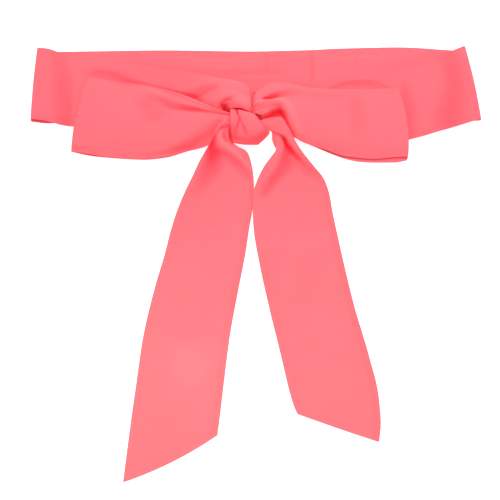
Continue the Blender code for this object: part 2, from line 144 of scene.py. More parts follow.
# The front of the waist right of the knot, from the knot, where it lies low under the bow, outwards
WAIST_RIGHT_TOP = [
    Row(5.4, 42.0, 5.0, 12.0, 18.0, 4.8, 0, 0),
    Row(22.0, 45.6, 4.6, 26.0, 16.0, 4.2, 0, 0),
    Row(40.0, 48.5, 3.3, 44.0, 12.0, 3.0, 0, 0),
    Row(59.0, 50.4, 2.8, 62.0, 6.0, 2.7, 0, 0),
    Row(82.5, 54.6, 2.7, 90.0, -6.0, 2.7, 0, 0),
    Row(106.5, 59.8, 2.7, 116.0, -13.0, 2.7, 0, 0),
    Row(128.5, 65.3, 2.7, 139.0, -11.5, 2.7, 0, 0),
    Row(150.0, 70.8, 3.0, 160.0, -6.8, 3.0, 0.2, 0),
    Row(173.5, 76.8, 3.4, 182.0, 0.2, 3.4, 0.2, 0),
    Row(196.0, 83.8, 3.8, 203.0, 6.8, 3.8, 0.3, 0),
    Row(206.0, 88.0, 3.8, 216.9, 11.2, 3.8, 0, 1.2),
]
WAIST_RIGHT_UNDER = [
    Row(206.0, 87.8, 0.0, 216.9, 11.2, 0.0, 0, 1.2),
    Row(RIGHT_SEAM + SEAM_GAP, 84.9, 0.0, RIGHT_SEAM + SEAM_GAP, 9.9, 0.0, 0, 0),
]

# The bow's loops, each from the knot to its end fold, and back to the knot underneath
LOOP_LEFT_TOP = [
    Row(-12.6, 12.0, 11.6, -12.6, 4.0, 12.5, 0.8, 0),
    Row(-17.5, 13.8, 12.0, -17.5, 1.0, 12.2, 1.6, 0),
    Row(-27.0, 16.6, 11.4, -27.0, -9.2, 8.0, 3.4, 0),
    Row(-41.0, 23.0, 10.6, -39.5, -18.0, 6.0, 4.4, 0),
    Row(-55.5, 30.4, 10.4, -55.5, -21.8, 6.0, 4.4, 0),
    Row(-77.0, 38.6, 10.0, -76.5, -28.0, 6.4, 3.6, 0),
    Row(-99.0, 44.5, 9.4, -96.0, -30.0, 6.8, 2.8, 0),
    Row(-128.0, 48.2, 8.4, -126.0, -28.2, 7.0, 1.6, 0),
    Row(-142.0, 51.4, 7.8, -150.6, -24.6, 7.2, 0.6, -1.6),
    Row(-147.6, 53.0, 7.4, -162.2, -22.8, 7.2, 0, -3.0),
]
LOOP_LEFT_UNDER = [
    Row(-149.8, 56.6, 4.0, -162.2, -22.4, 4.0, 0, -3.0),
    Row(-143.0, 61.6, 4.0, -146.0, -25.8, 3.8, 0, -1.4),
    Row(-128.0, 60.8, 3.8, -126.0, -27.8, 3.6, 0, 0),
    Row(-114.0, 53.0, 3.6, -112.0, -28.8, 3.4, 0, 0),
    Row(-99.0, 43.0, 3.5, -96.0, -29.6, 3.4, 0, 0),
    Row(-77.0, 36.0, 3.6, -76.5, -27.6, 3.2, 0, 0),
    Row(-55.5, 24.0, 4.4, -55.5, -21.2, 3.0, 0, 0),
    Row(-41.0, 17.0, 5.2, -39.5, -16.7, 2.8, 0, 0),
    Row(-27.0, 12.0, 6.6, -27.0, -7.5, 4.6, 0, 0),
    Row(-12.6, 10.6, 8.0, -12.6, 5.0, 8.0, 0, 0),
]
LOOP_RIGHT_TOP = [
    Row(4.4, 30.6, 9.2, 5.0, 13.6, 11.2, 1.0, 0),
    Row(6.2, 32.4, 12.0, 7.4, 13.0, 12.0, 1.6, 0),
    Row(10.0, 36.0, 13.0, 13.4, 10.6, 11.2, 1.8, 0),
    Row(14.4, 39.6, 13.0, 20.0, 6.6, 10.6, 2.0, 0),
    Row(21.0, 43.0, 12.4, 29.0, 0.6, 9.4, 2.8, 0),
    Row(30.0, 44.8, 12.0, 39.4, -7.2, 8.4, 3.8, 0),
    Row(41.0, 43.6, 11.6, 51.2, -14.8, 8.0, 4.4, 0),
    Row(58.0, 40.0, 11.0, 68.0, -20.2, 7.8, 4.4, 0),
    Row(82.0, 38.8, 10.2, 93.0, -27.4, 6.0, 3.8, 0),
    Row(108.0, 39.4, 9.0, 116.0, -29.5, 5.8, 2.8, 0),
    Row(130.0, 40.6, 7.8, 136.0, -28.0, 6.3, 0.9, 2.6),
    Row(140.3, 41.2, 7.4, 145.8, -27.6, 6.8, 0, 4.0),
]
LOOP_RIGHT_UNDER = [
    Row(140.3, 40.4, 3.7, 145.8, -30.8, 3.7, 0, 4.0),
    Row(130.0, 46.4, 3.6, 136.0, -32.6, 3.6, 0, 2.6),
    Row(112.0, 52.0, 3.4, 118.0, -32.6, 3.4, 0, 0),
    Row(97.0, 51.2, 3.4, 104.0, -31.9, 3.4, 0, 0),
    Row(84.0, 47.6, 3.4, 93.0, -29.6, 3.4, 0, 0),
    Row(68.0, 39.6, 3.6, 77.0, -23.6, 3.4, 0, 0),
    Row(55.0, 36.6, 3.9, 66.0, -18.8, 3.4, 0, 0),
    Row(41.0, 36.0, 5.0, 54.0, -13.4, 3.4, 0, 0),
    Row(27.0, 34.0, 6.2, 37.0, -2.5, 3.4, 0, 0),
    Row(14.0, 29.0, 6.6, 20.0, 8.4, 3.8, 0, 0),
    Row(5.4, 24.0, 6.4, 8.6, 13.0, 5.2, 0, 0),
]

# The band that wraps the knot, from behind its upper side over the front to behind its lower side
KNOT_WRAP = [
    Row(-14.4, 17.0, 5.0, 3.4, 12.8, 5.0, 0, 0),
    Row(-15.4, 16.8, 12.4, 4.2, 12.6, 12.0, 0.8, 0),
    Row(-16.2, 14.4, 16.6, 5.8, 10.4, 16.2, 2.2, 0),
    Row(-16.1, 6.0, 17.6, 9.8, 4.8, 17.8, 3.2, 0),
    Row(-15.8, -1.6, 17.4, 15.2, -1.6, 17.2, 3.6, 0),
    Row(-15.2, -8.0, 16.0, 20.2, -7.9, 15.0, 3.8, 0),
    Row(-13.8, -12.6, 12.8, 15.6, -13.2, 12.0, 3.6, -0.6),
    Row(-12.6, -16.2, 9.4, 10.0, -17.2, 8.4, 1.4, -1.2),
    Row(-10.6, -13.2, 2.6, 9.4, -14.2, 2.6, 0, -1.0),
]

# The tails, from the knot to their slanted ends
TAIL_LEFT = [
    Row(-11.6, 1.2, 13.6, -11.8, -9.6, 9.4, 0.6, 0),
    Row(-15.8, 2.6, 14.4, -12.9, -13.0, 8.8, 1.0, -0.4),
    Row(-20.6, 4.4, 15.0, -12.9, -16.8, 8.0, 1.2, -1.0),
    Row(-25.4, 2.2, 14.6, -9.6, -19.4, 7.8, 1.2, -2.0),
    Row(-29.6, -4.4, 13.4, -4.0, -21.4, 7.2, 1.0, -2.6),
    Row(-33.2, -12.4, 12.0, 0.2, -25.4, 6.4, 0.8, -2.4),
    Row(-37.2, -21.5, 11.2, 2.8, -32.6, 5.2, 0.8, -1.2),
    Row(-44.4, -33.6, 8.6, 4.6, -41.4, 3.6, 0.8, 0),
    Row(-50.0, -46.0, 6.0, 5.6, -52.0, 2.0, 0.6, 0),
    Row(-57.3, -61.5, 3.4, 5.8, -66.0, 1.2, 0.4, 0),
    Row(-64.5, -80.0, 1.6, 3.8, -82.5, FLAT, 0.2, 0),
    Row(-70.0, -99.0, FLAT, 1.0, -99.5, FLAT, 0, 0),
    Row(-74.2, -118.5, FLAT, -1.6, -118.5, FLAT, 0, 0),
    Row(-83.4, -155.0, FLAT, -8.0, -154.0, FLAT, 0, 0),
    Row(-92.4, -200.0, FLAT, -15.6, -198.0, FLAT, 0, 0),
    Row(-97.5, -245.0, FLAT, -20.6, -240.0, FLAT, 0, 0),
    Row(-101.6, -283.0, FLAT, -23.4, -266.0, FLAT, 0, 0),
    Row(-105.9, -328.4, FLAT, -26.0, -287.8, FLAT, 0, -3.2),
]
TAIL_RIGHT = [
    Row(8.8, -3.0, 12.4, 8.4, 4.0, 13.0, 0.6, 0),
    Row(15.0, -4.8, 13.4, 13.6, 5.0, 14.6, 1.2, 0),
    Row(19.4, -5.4, 13.4, 21.4, 6.7, 15.6, 1.4, 0),
    Row(22.4, -6.6, 12.4, 30.2, 7.7, 15.6, 1.0, 0),
    Row(22.3, -12.2, 10.6, 36.2, -0.4, 14.8, 0.8, 0),
    Row(24.2, -18.8, 9.4, 40.8, -8.8, 12.8, 0.6, 0),
    Row(25.9, -22.9, 9.0, 44.8, -16.4, 10.8, 0.6, 0),
    Row(22.2, -28.4, 8.0, 49.4, -23.6, 9.6, 0.4, 0),
    Row(15.0, -38.0, 5.8, 59.4, -36.6, 7.4, 0.4, 0),
    Row(8.8, -50.6, 4.2, 70.4, -51.2, 5.2, 0.4, 0),
    Row(5.0, -64.0, 3.0, 74.9, -65.2, 3.2, 0.4, 0),
    Row(4.4, -80.0, 2.6, 77.3, -81.0, 1.6, 0.2, 0),
    Row(5.4, -99.0, 2.2, 80.8, -100.0, FLAT, 0, 0),
    Row(10.3, -130.0, FLAT, 86.4, -130.0, FLAT, 0, 0),
    Row(19.0, -172.5, FLAT, 95.2, -172.5, FLAT, 0, 0),
    Row(29.0, -216.0, FLAT, 106.3, -216.0, FLAT, 0, 0),
    Row(36.6, -250.0, FLAT, 113.9, -254.0, FLAT, 0, 0),
    Row(39.8, -261.5, FLAT, 115.0, -276.0, FLAT, 0, 0),
    Row(43.0, -269.2, FLAT, 113.0, -293.8, FLAT, 0, -0.4),
]

# A crest is one place on the line that a fold follows, seen from above. left and right are how far the
# fold reaches to each side of the line there, as seen going along it, and rise is how far it stands up,
# or is pressed down where rise is below zero. A short reach makes a steep side. Lists of folds shape
# the cloth, and also paint shade into its colour down in them and paint light on their heights. Lists of
# shades, and of lights, leave its shape alone and only paint it: painted shade where rise is below zero,
# and painted light where rise is above it.
Crest = namedtuple("Crest", "x y left right rise")

# Soft creases from being packed, in the back of the waist
WAIST_BACK_FOLDS = [
    [Crest(18.5, 84, 2.5, 4.0, -0.3), Crest(18.2, 73, 2.5, 4.0, -0.5), Crest(18.0, 62, 2.5, 4.0, -0.2)],
    [Crest(62.0, 82, 2.0, 4.5, -0.5), Crest(61.8, 66, 2.0, 4.5, -0.8), Crest(61.5, 51, 2.0, 4.5, -0.3)],
    [Crest(105.0, 87, 2.5, 4.0, -0.3), Crest(104.5, 69, 2.5, 4.0, -0.4)],
    [Crest(-60, 70, 3, 4, 0.0), Crest(-20, 66, 3, 4, 0.5), Crest(12, 68, 3, 4, 0.0)],
    [Crest(-84, 78, 3, 4, 0.0), Crest(-30, 74, 3, 4, 0.4), Crest(30, 77, 3, 4, 0.0)],
    [Crest(-20, 58, 3, 4, 0.0), Crest(14, 56, 3, 4, 0.5), Crest(44, 58, 3, 4, 0.0)],
    [Crest(70, 72, 3, 4, 0.0), Crest(110, 77, 4, 5, 0.5), Crest(150, 76, 3, 4, 0.0)],
    [
        Crest(-150, 40, 9, 9, 0.0),
        Crest(-60, 34, 9, 9, 0.5),
        Crest(60, 44, 9, 9, 0.5),
        Crest(150, 38, 9, 9, 0.0),
    ],
]
# The shadow of the bow on the back of the waist
WAIST_BACK_SHADES = [
    [
        Crest(-140, 70, 6, 12, -0.2),
        Crest(-100, 68, 7, 10, -0.4),
        Crest(-45, 65, 7, 10, -0.4),
        Crest(0, 62, 8, 10, -0.5),
        Crest(28, 60, 8, 8, -0.5),
        Crest(42, 59, 6, 6, 0.0),
    ],
]

# The left front of the waist: the dip by its end fold, the puff's steep side, its hook and its hollow
# over the knot, and two pleats where it enters the knot
LEFT_DIP = [Crest(-181, 80, 12, 12, -0.7), Crest(-176, 42, 16, 14, -1.3), Crest(-173, 6, 14, 12, -0.9)]
PUFF_SIDE = [Crest(-56, 36, 7, 9, -0.4), Crest(-44, 40, 6, 9, -1.2), Crest(-32, 43, 5, 9, -0.8)]
PUFF_HOOK = [
    Crest(-26.0, 19.0, 5.0, 2.6, -1.0),
    Crest(-24.6, 22.4, 4.0, 2.6, -1.8),
    Crest(-21.8, 25.0, 3.4, 2.4, -2.4),
    Crest(-18.0, 26.2, 3.4, 2.2, -2.0),
    Crest(-13.0, 26.9, 4.0, 2.4, -1.0),
    Crest(-8.0, 27.2, 4.0, 2.6, -0.2),
]
PUFF_HOLLOW = [
    Crest(-23.8, 22.0, 3.2, 3.6, -3.4),
    Crest(-21.6, 19.4, 4.0, 4.4, -7.5),
    Crest(-18.4, 15.6, 4.2, 4.6, -7.5),
]
PLEAT_MIDDLE = [
    Crest(4.0, 38.0, 3.0, 3.0, -0.4),
    Crest(3.8, 30.0, 2.0, 2.4, -0.8),
    Crest(3.4, 23.0, 1.4, 1.8, -1.4),
    Crest(3.0, 16.5, 1.0, 1.4, -2.0),
]
PLEAT_LEFT = [
    Crest(0.6, 25.0, 1.6, 2.4, -0.4),
    Crest(1.4, 20.5, 1.2, 2.0, -1.0),
    Crest(2.4, 16.0, 0.9, 1.4, -1.4),
]
WAIST_LEFT_FOLDS = [LEFT_DIP, PUFF_SIDE, PUFF_HOOK, PUFF_HOLLOW, PLEAT_MIDDLE, PLEAT_LEFT]
# Its painted shade: under the puff, along the loop's upper edge and beside its end, and in the hollow;
# and painted light on the puff and near its root
PUFF_SHADE = [
    Crest(-53.0, 33.0, 8, 4, -0.8),
    Crest(-48.0, 34.6, 6, 4, -1.6),
    Crest(-42.0, 37.0, 3, 5, -1.4),
    Crest(-33.0, 40.6, 3, 4, -1.2),
    Crest(-25.0, 42.6, 3, 4, 0.0),
]
# Painted shadow along the loop's upper edge
LEFT_LOOP_EDGE_SHADOW = [
    Crest(-158.0, 59.0, 3, 4, 0.0),
    Crest(-149.7, 57.2, 12, 5, -0.8),
    Crest(-138.3, 54.8, 13, 5, -1.1),
    Crest(-128.7, 52.8, 15, 5, -1.3),
    Crest(-119.2, 50.8, 13, 5, -1.5),
    Crest(-109.7, 49.0, 7, 5, -2.8),
    Crest(-100.2, 46.9, 5, 5, -3.2),
    Crest(-90.6, 44.3, 4, 5, -3.8),
    Crest(-81.1, 42.2, 4, 5, -4.4),
    Crest(-71.6, 40.0, 4, 5, -4.4),
    Crest(-62.1, 36.8, 5, 5, -4.8),
    Crest(-52.7, 34.4, 6, 5, -5.4),
    Crest(-46.0, 31.0, 6, 4, -2.6),
    Crest(-42.0, 27.0, 4, 3, -0.8),
]
HOLLOW_SHADE = [
    Crest(-24.5, 21.0, 2.0, 2.0, -0.8),
    Crest(-21.0, 22.6, 2.6, 2.8, -3.0),
    Crest(-17.0, 22.8, 2.0, 2.4, -0.6),
]
# Painted light on the puff
PUFF_PAINTED_LIGHT = [
    Crest(-22, 33, 7, 5, 0.7),
    Crest(-13, 29, 8, 5, 2.1),
    Crest(-6, 25, 8, 9, 3.6),
    Crest(1, 24, 7, 9, 3.6),
]
# Painted light near the puff's root
PUFF_ROOT_PAINTED_LIGHT = [
    Crest(-44, 30, 3, 3, 0.0),
    Crest(-36, 29, 4, 4, 0.9),
    Crest(-29, 29, 4, 4, 0.7),
    Crest(-23, 29, 3, 3, 0.0),
]
# Painted shadow beside the loop's end
LEFT_LOOP_SIDE_SHADOW = [Crest(-167, 38, 2, 6, -0.2), Crest(-167, 20, 3, 7, -0.9), Crest(-168, 6, 3, 7, -0.9)]
WAIST_LEFT_SHADES = [
    PUFF_SHADE, LEFT_LOOP_EDGE_SHADOW, LEFT_LOOP_SIDE_SHADOW, HOLLOW_SHADE, PUFF_PAINTED_LIGHT, PUFF_ROOT_PAINTED_LIGHT,
]

# The right front of the waist: the dip by its end fold, and its painted shade beside the loop and above
# it
WAIST_RIGHT_FOLDS = [
    [Crest(191, 82, 14, 14, -0.9), Crest(195, 46, 17, 17, -1.5), Crest(189, 12, 22, 22, -1.5)],
]
# Painted shadow beside the loop's end
RIGHT_LOOP_SIDE_SHADOW = [
    Crest(146, 48, 10, 3, -0.4),
    Crest(147, 38, 12, 3, -1.2),
    Crest(149, 18, 14, 3, -1.2),
    Crest(152, -12, 8, 3, -0.3),
]
# Painted shade along the front's upper edge
RIGHT_EDGE_SHADE = [Crest(128, 62, 4, 5, -0.1), Crest(160, 70, 4, 6, -0.4), Crest(186, 76, 4, 6, -0.3)]
WAIST_RIGHT_SHADES = [RIGHT_LOOP_SIDE_SHADOW, RIGHT_EDGE_SHADE]

# The left loop: the groove under its rolled upper edge, the roll and a line along it, the steep lower
# side, and a soft dent in its middle
LEFT_GROOVE = [
    Crest(-15.0, 11.6, 1.6, 1.2, -1.2),
    Crest(-20.0, 11.8, 1.6, 1.2, -1.6),
    Crest(-29.7, 13.6, 1.8, 1.4, -1.2),
    Crest(-37.1, 14.9, 2.6, 1.6, -1.8),
    Crest(-44.6, 16.4, 3.6, 2.6, -2.8),
    Crest(-52.1, 17.6, 4.6, 3.6, -3.2),
    Crest(-61.0, 19.4, 5.4, 4.0, -2.6),
    Crest(-71.0, 22.0, 7.0, 5.0, -1.6),
    Crest(-80.0, 26.0, 6.0, 5.0, -1.4),
    Crest(-92.0, 30.0, 7.0, 6.0, -0.7),
]
LEFT_ROLL = [
    Crest(-24.0, 15.6, 2.5, 2.5, 0.8),
    Crest(-37.1, 20.0, 3.5, 3.5, 1.4),
    Crest(-54.0, 27.0, 5.0, 5.0, 1.1),
    Crest(-67.1, 31.4, 6.0, 6.0, 0.8),
    Crest(-96.0, 38.0, 7.0, 7.0, 0.5),
]
LEFT_ROLL_LINE = [
    Crest(-20.0, 13.2, 0.9, 0.9, -0.8),
    Crest(-30.0, 16.0, 1.1, 1.1, -0.9),
    Crest(-44.6, 22.2, 1.3, 1.3, -0.9),
    Crest(-62.0, 29.4, 1.6, 1.6, -0.3),
]
LEFT_LOWER_DENT = [
    Crest(-26.0, 2.0, 6.0, 6.0, -0.6),
    Crest(-37.0, -9.5, 6.0, 6.0, -1.6),
    Crest(-53.5, -18.0, 7.0, 6.0, -1.6),
    Crest(-70.0, -23.0, 8.0, 6.0, -0.8),
]
LEFT_MIDDLE_DENT = [Crest(-70, 12, 8, 8, 0.0), Crest(-88, 9, 8, 8, -0.6), Crest(-104, 8, 8, 8, 0.0)]
LOOP_LEFT_FOLDS = [LEFT_GROOVE, LEFT_ROLL, LEFT_ROLL_LINE, LEFT_LOWER_DENT, LEFT_MIDDLE_DENT]
# Its painted shade: on the roll, in the groove, down the lower side, and on the middle
LEFT_ROLL_SHADE = [
    Crest(-30, 15.4, 2, 2, -0.8),
    Crest(-44, 22.0, 3, 3, -1.2),
    Crest(-58, 28.6, 4, 4, -1.5),
    Crest(-72, 34.6, 4, 4, -2.0),
    Crest(-86, 40.6, 3, 4, -1.8),
    Crest(-100, 44.4, 3, 4, -1.8),
    Crest(-116, 46.6, 3, 4, -1.4),
    Crest(-130, 48.0, 3, 4, -0.2),
]
LEFT_ROOT_SHADE = [
    Crest(-16.0, 9.8, 2.0, 2.4, -1.8),
    Crest(-22.0, 11.6, 2.0, 2.4, -2.4),
    Crest(-32.0, 12.4, 1.6, 2.4, -1.6),
    Crest(-46.0, 14.0, 1.6, 3.0, -1.6),
    Crest(-60.0, 16.8, 3.0, 4.0, -1.5),
    Crest(-72.0, 19.4, 4.0, 4.0, -1.3),
    Crest(-84.0, 24.0, 4.0, 4.0, 0.0),
]
LEFT_SLOPE_SHADE = [
    Crest(-26.0, 5.0, 4, 5, -1.0),
    Crest(-36.0, -2.0, 4, 8, -1.0),
    Crest(-46.0, -11.0, 4, 10, -1.1),
    Crest(-55.0, -16.0, 4, 8, -1.1),
    Crest(-66.0, -20.5, 4, 6, -1.2),
    Crest(-82.0, -25.0, 3, 4, -0.8),
    Crest(-104.0, -28.0, 4, 4, 0.0),
]
LEFT_MIDDLE_SHADE = [
    Crest(-110, 28, 8, 8, 0.0),
    Crest(-97, 23, 9, 9, -0.6),
    Crest(-84, 18, 8, 8, -0.5),
    Crest(-74, 14, 6, 6, 0.0),
]
LOOP_LEFT_SHADES = [LEFT_ROLL_SHADE, LEFT_ROOT_SHADE, LEFT_SLOPE_SHADE, LEFT_MIDDLE_SHADE]
# The painted shade on its back layer, where that shows above the front one, and the sag of both layers
LOOP_LEFT_UNDER_SHADES = [
    [
        Crest(-150, 58, 6, 9, -1.0),
        Crest(-141, 61, 6, 12, -1.8),
        Crest(-128, 58, 7, 10, -2.0),
        Crest(-118, 53, 7, 8, -2.4),
        Crest(-108, 49, 6, 6, -2.8),
        Crest(-98, 46, 4, 4, -3.0),
    ],
]
LOOP_LEFT_DROOP = [
    [Crest(-185, -27, 17, 17, -0.9), Crest(-115, -26, 17, 17, -2.4), Crest(-45, -24, 17, 17, -0.9)],
]

# The right loop: two pleats in the lobe, the hood's valley by the knot, the lobe under it, the deep pit
# beside the strap with its lip, and a soft dent in its middle
LOBE_PLEAT = [
    Crest(4.8, 15.6, 0.8, 0.8, -1.6),
    Crest(6.4, 19.0, 1.0, 1.0, -1.6),
    Crest(9.4, 22.2, 1.4, 1.4, -0.4),
]
LOWER_PLEAT = [
    Crest(6.0, 13.6, 0.7, 0.7, -1.0),
    Crest(9.0, 16.0, 0.9, 0.9, -1.2),
    Crest(14.0, 17.8, 1.2, 1.2, -0.2),
]
HOOD_VALLEY = [
    Crest(13.5, 26.2, 2.0, 2.0, -0.8),
    Crest(16.0, 27.2, 3.0, 2.0, -3.4),
    Crest(19.0, 27.6, 4.0, 2.4, -5.4),
    Crest(22.2, 28.4, 5.0, 2.8, -4.8),
    Crest(26.0, 29.6, 5.8, 3.4, -3.6),
    Crest(31.0, 31.0, 6.0, 4.0, -2.2),
    Crest(38.0, 33.0, 7.0, 6.0, -1.2),
    Crest(46.0, 32.4, 8.0, 8.0, -0.4),
]
LOBE_RIDGE = [
    Crest(7.6, 22.4, 3.0, 3.0, 0.8),
    Crest(13.2, 24.0, 3.6, 4.0, 1.4),
    Crest(20.6, 25.2, 4.0, 5.0, 1.8),
    Crest(28.1, 25.0, 5.0, 5.0, 2.2),
    Crest(33.6, 23.0, 6.0, 5.0, 2.2),
    Crest(38.0, 17.5, 7.0, 5.0, 2.0),
    Crest(41.0, 10.0, 7.0, 5.0, 1.6),
    Crest(44.0, 2.0, 7.0, 5.0, 1.2),
    Crest(50.0, -8.0, 7.0, 5.0, 0.4),
]
STRAP_PIT = [
    Crest(7.6, 10.4, 2.0, 10.0, -0.8),
    Crest(13.2, 10.2, 2.0, 12.0, -2.8),
    Crest(18.8, 11.2, 2.6, 13.0, -5.8),
    Crest(24.4, 13.8, 4.2, 14.0, -7.4),
    Crest(28.6, 14.4, 4.8, 14.0, -7.8),
    Crest(31.6, 11.0, 5.4, 13.0, -7.2),
    Crest(33.8, 5.2, 4.6, 11.0, -5.4),
    Crest(36.8, -1.4, 4.2, 9.0, -3.8),
    Crest(42.6, -9.0, 3.4, 7.0, -1.4),
]
PIT_LIP = [
    Crest(7.6, 10.9, 0.9, 0.9, 1.4),
    Crest(11.0, 11.2, 0.9, 0.9, 1.8),
    Crest(15.5, 12.0, 0.9, 0.9, 0.6),
]
RIGHT_MIDDLE_DENT = [
    Crest(100, 30, 13, 13, -0.3),
    Crest(102, 14, 13, 13, -0.7),
    Crest(103, -4, 13, 13, -0.3),
]
LOOP_RIGHT_FOLDS = [
    LOBE_PLEAT, LOWER_PLEAT, HOOD_VALLEY, LOBE_RIDGE, STRAP_PIT, PIT_LIP, RIGHT_MIDDLE_DENT,
]
# Its painted shade: under the lobe's tip, in the pit, and under the hood
LOBE_TIP_SHADE = [
    Crest(8.0, 20.0, 2.0, 3.0, -1.0),
    Crest(16.0, 19.8, 2.0, 3.0, -0.8),
    Crest(24.0, 20.6, 3.0, 4.0, -1.4),
    Crest(28.6, 20.0, 3.4, 4.0, -2.6),
    Crest(31.0, 16.0, 4.0, 5.0, -1.4),
]
PIT_SHADE = [
    Crest(14.0, 8.4, 2.0, 2.6, -2.0),
    Crest(20.0, 9.4, 2.6, 2.6, -4.0),
    Crest(27.0, 10.0, 3.6, 2.6, -4.0),
    Crest(31.4, 5.6, 3.6, 3.0, -4.0),
    Crest(33.4, 0.0, 3.0, 3.0, -2.6),
]
HOOD_SHADE = [
    Crest(40, 36, 6, 8, 0.0),
    Crest(56, 33, 6, 9, -0.4),
    Crest(76, 31, 6, 9, -0.4),
    Crest(92, 31, 6, 6, 0.0),
]
LOOP_RIGHT_SHADES = [LOBE_TIP_SHADE, PIT_SHADE, HOOD_SHADE]
# The painted shade on its back layer, where that shows above the front one, and the sag of both layers
LOOP_RIGHT_UNDER_SHADES = [
    [
        Crest(68, 41.0, 4, 4, -0.2),
        Crest(82, 46.0, 5, 6, -1.4),
        Crest(96, 49.4, 6, 8, -1.8),
        Crest(110, 50.4, 6, 9, -1.8),
        Crest(122, 48.4, 6, 8, -1.6),
        Crest(132, 46.0, 6, 6, -1.2),
        Crest(139, 42.0, 5, 5, -0.3),
    ],
]
LOOP_RIGHT_DROOP = [
    [Crest(172, -30, 14, 14, -0.9), Crest(111, -27, 14, 14, -2.4), Crest(50, -22, 14, 14, -0.9)],
]

# The knot's band: the gap and the crease beside its left strand, a second crease, and the lower line
STRAND_CREASE = [
    Crest(-10.6, 15.6, 1.6, 1.4, -2.2),
    Crest(-10.2, 12.0, 1.6, 1.4, -2.8),
    Crest(-9.2, 7.6, 1.6, 1.4, -1.6),
    Crest(-7.8, 4.2, 2.0, 1.2, -1.8),
    Crest(-9.1, 0.2, 2.6, 1.4, -1.8),
    Crest(-10.9, -5.9, 3.0, 1.6, -1.6),
    Crest(-11.8, -13.0, 2.6, 1.6, -0.8),
]
INNER_CREASE = [
    Crest(-7.4, 3.4, 1.4, 1.6, -0.6),
    Crest(-5.4, -0.9, 1.5, 2.6, -1.5),
    Crest(-2.6, -7.0, 1.6, 3.0, -1.7),
    Crest(-0.8, -12.6, 1.6, 2.6, -0.6),
]
LOWER_LINE = [
    Crest(-13.7, -13.3, 1.0, 1.2, -0.5),
    Crest(-9.1, -14.3, 1.0, 1.2, -0.8),
    Crest(0.2, -15.6, 1.0, 1.2, -0.4),
]
KNOT_FOLDS = [STRAND_CREASE, INNER_CREASE, LOWER_LINE]
# Its painted shade: round its sides and in the gap
KNOT_SIDE_SHADE = [
    Crest(10.0, 5.0, 3, 4, -0.4),
    Crest(14.0, 0.0, 6, 4, -1.4),
    Crest(16.6, -6.6, 7, 4, -1.8),
    Crest(12.6, -11.6, 7, 4, -2.2),
    Crest(6.4, -14.4, 6, 4, -1.8),
    Crest(-2.0, -15.0, 4, 4, -1.0),
    Crest(-9.0, -14.0, 4, 4, -1.4),
    Crest(-13.6, -9.0, 4, 4, -2.0),
    Crest(-14.2, 0.0, 3, 3, -0.8),
]
KNOT_GAP_SHADE = [
    Crest(-10.6, 15.4, 1.1, 1.1, -4.0),
    Crest(-10.4, 12.4, 1.3, 1.3, -5.0),
    Crest(-9.8, 9.0, 0.9, 0.9, -1.0),
]
KNOT_SHADES = [KNOT_SIDE_SHADE, KNOT_GAP_SHADE]

# The left tail: the tuck along its left side, the valley and the ridge beside it, the two hollows by
# the knot, and the soft valley below them
LEFT_TUCK = [
    Crest(-14.6, -1.4, 0.9, 4.0, -1.2),
    Crest(-19.3, -1.9, 0.9, 4.0, -2.2),
    Crest(-23.9, -3.2, 0.9, 4.0, -2.6),
    Crest(-26.6, -4.8, 0.9, 2.6, -1.2),
    Crest(-30.0, -10.0, 0.9, 2.6, -1.2),
    Crest(-33.2, -17.0, 0.9, 4.0, -2.2),
    Crest(-36.6, -23.6, 0.9, 4.0, -1.4),
    Crest(-39.0, -29.0, 1.0, 5.0, -0.6),
]
LEFT_VALLEY = [
    Crest(-30.4, -10.4, 3.0, 1.6, -1.4),
    Crest(-32.8, -17.0, 6.0, 2.6, -4.2),
    Crest(-33.6, -22.5, 11.0, 5.0, -5.2),
    Crest(-33.8, -28.5, 15.0, 7.0, -4.8),
    Crest(-34.6, -34.5, 17.0, 9.0, -3.4),
    Crest(-36.6, -41.0, 17.0, 10.0, -2.4),
    Crest(-40.6, -50.0, 13.0, 10.0, -1.6),
    Crest(-46.0, -62.0, 10.0, 9.0, -0.6),
]
LEFT_RIDGE = [
    Crest(-23.4, -5.5, 2.4, 3.0, 0.8),
    Crest(-25.8, -10.8, 3.6, 3.6, 1.6),
    Crest(-25.0, -15.6, 5.0, 4.0, 2.0),
    Crest(-20.6, -20.4, 6.0, 4.0, 2.2),
    Crest(-14.0, -25.0, 6.0, 4.4, 1.8),
    Crest(-6.2, -31.0, 6.0, 5.0, 1.2),
    Crest(0.2, -40.0, 6.0, 5.0, 0.5),
]
KNOT_POCKET = [
    Crest(-16.6, -3.0, 3.0, 2.2, -2.4),
    Crest(-16.4, -9.0, 3.0, 2.6, -3.6),
    Crest(-16.0, -13.0, 3.0, 2.4, -3.2),
    Crest(-14.4, -16.6, 2.6, 2.2, -1.8),
]
SOFT_POCKET = [
    Crest(-21.6, -6.0, 2.4, 2.4, -0.9),
    Crest(-21.6, -11.3, 2.6, 2.6, -1.4),
    Crest(-19.2, -16.4, 2.6, 3.0, -0.8),
]
SOFT_VALLEY = [
    Crest(-28.0, -24.0, 4.0, 6.0, -1.4),
    Crest(-21.0, -27.0, 5.0, 6.0, -1.8),
    Crest(-14.5, -32.6, 6.0, 7.0, -1.8),
    Crest(-7.1, -38.2, 6.0, 8.0, -1.5),
    Crest(-0.7, -46.0, 5.0, 8.0, -0.9),
]
TAIL_LEFT_FOLDS = [LEFT_TUCK, LEFT_VALLEY, LEFT_RIDGE, KNOT_POCKET, SOFT_POCKET, SOFT_VALLEY]
# Painted light: a pale place far down the left tail
TAIL_LEFT_PAINTED_LIGHT = [
    [
        Crest(-50.9, -200, 18, 18, 0.0),
        Crest(-50.6, -226, 26, 26, 1.5),
        Crest(-50.3, -250, 18, 18, 0.0),
    ],
]

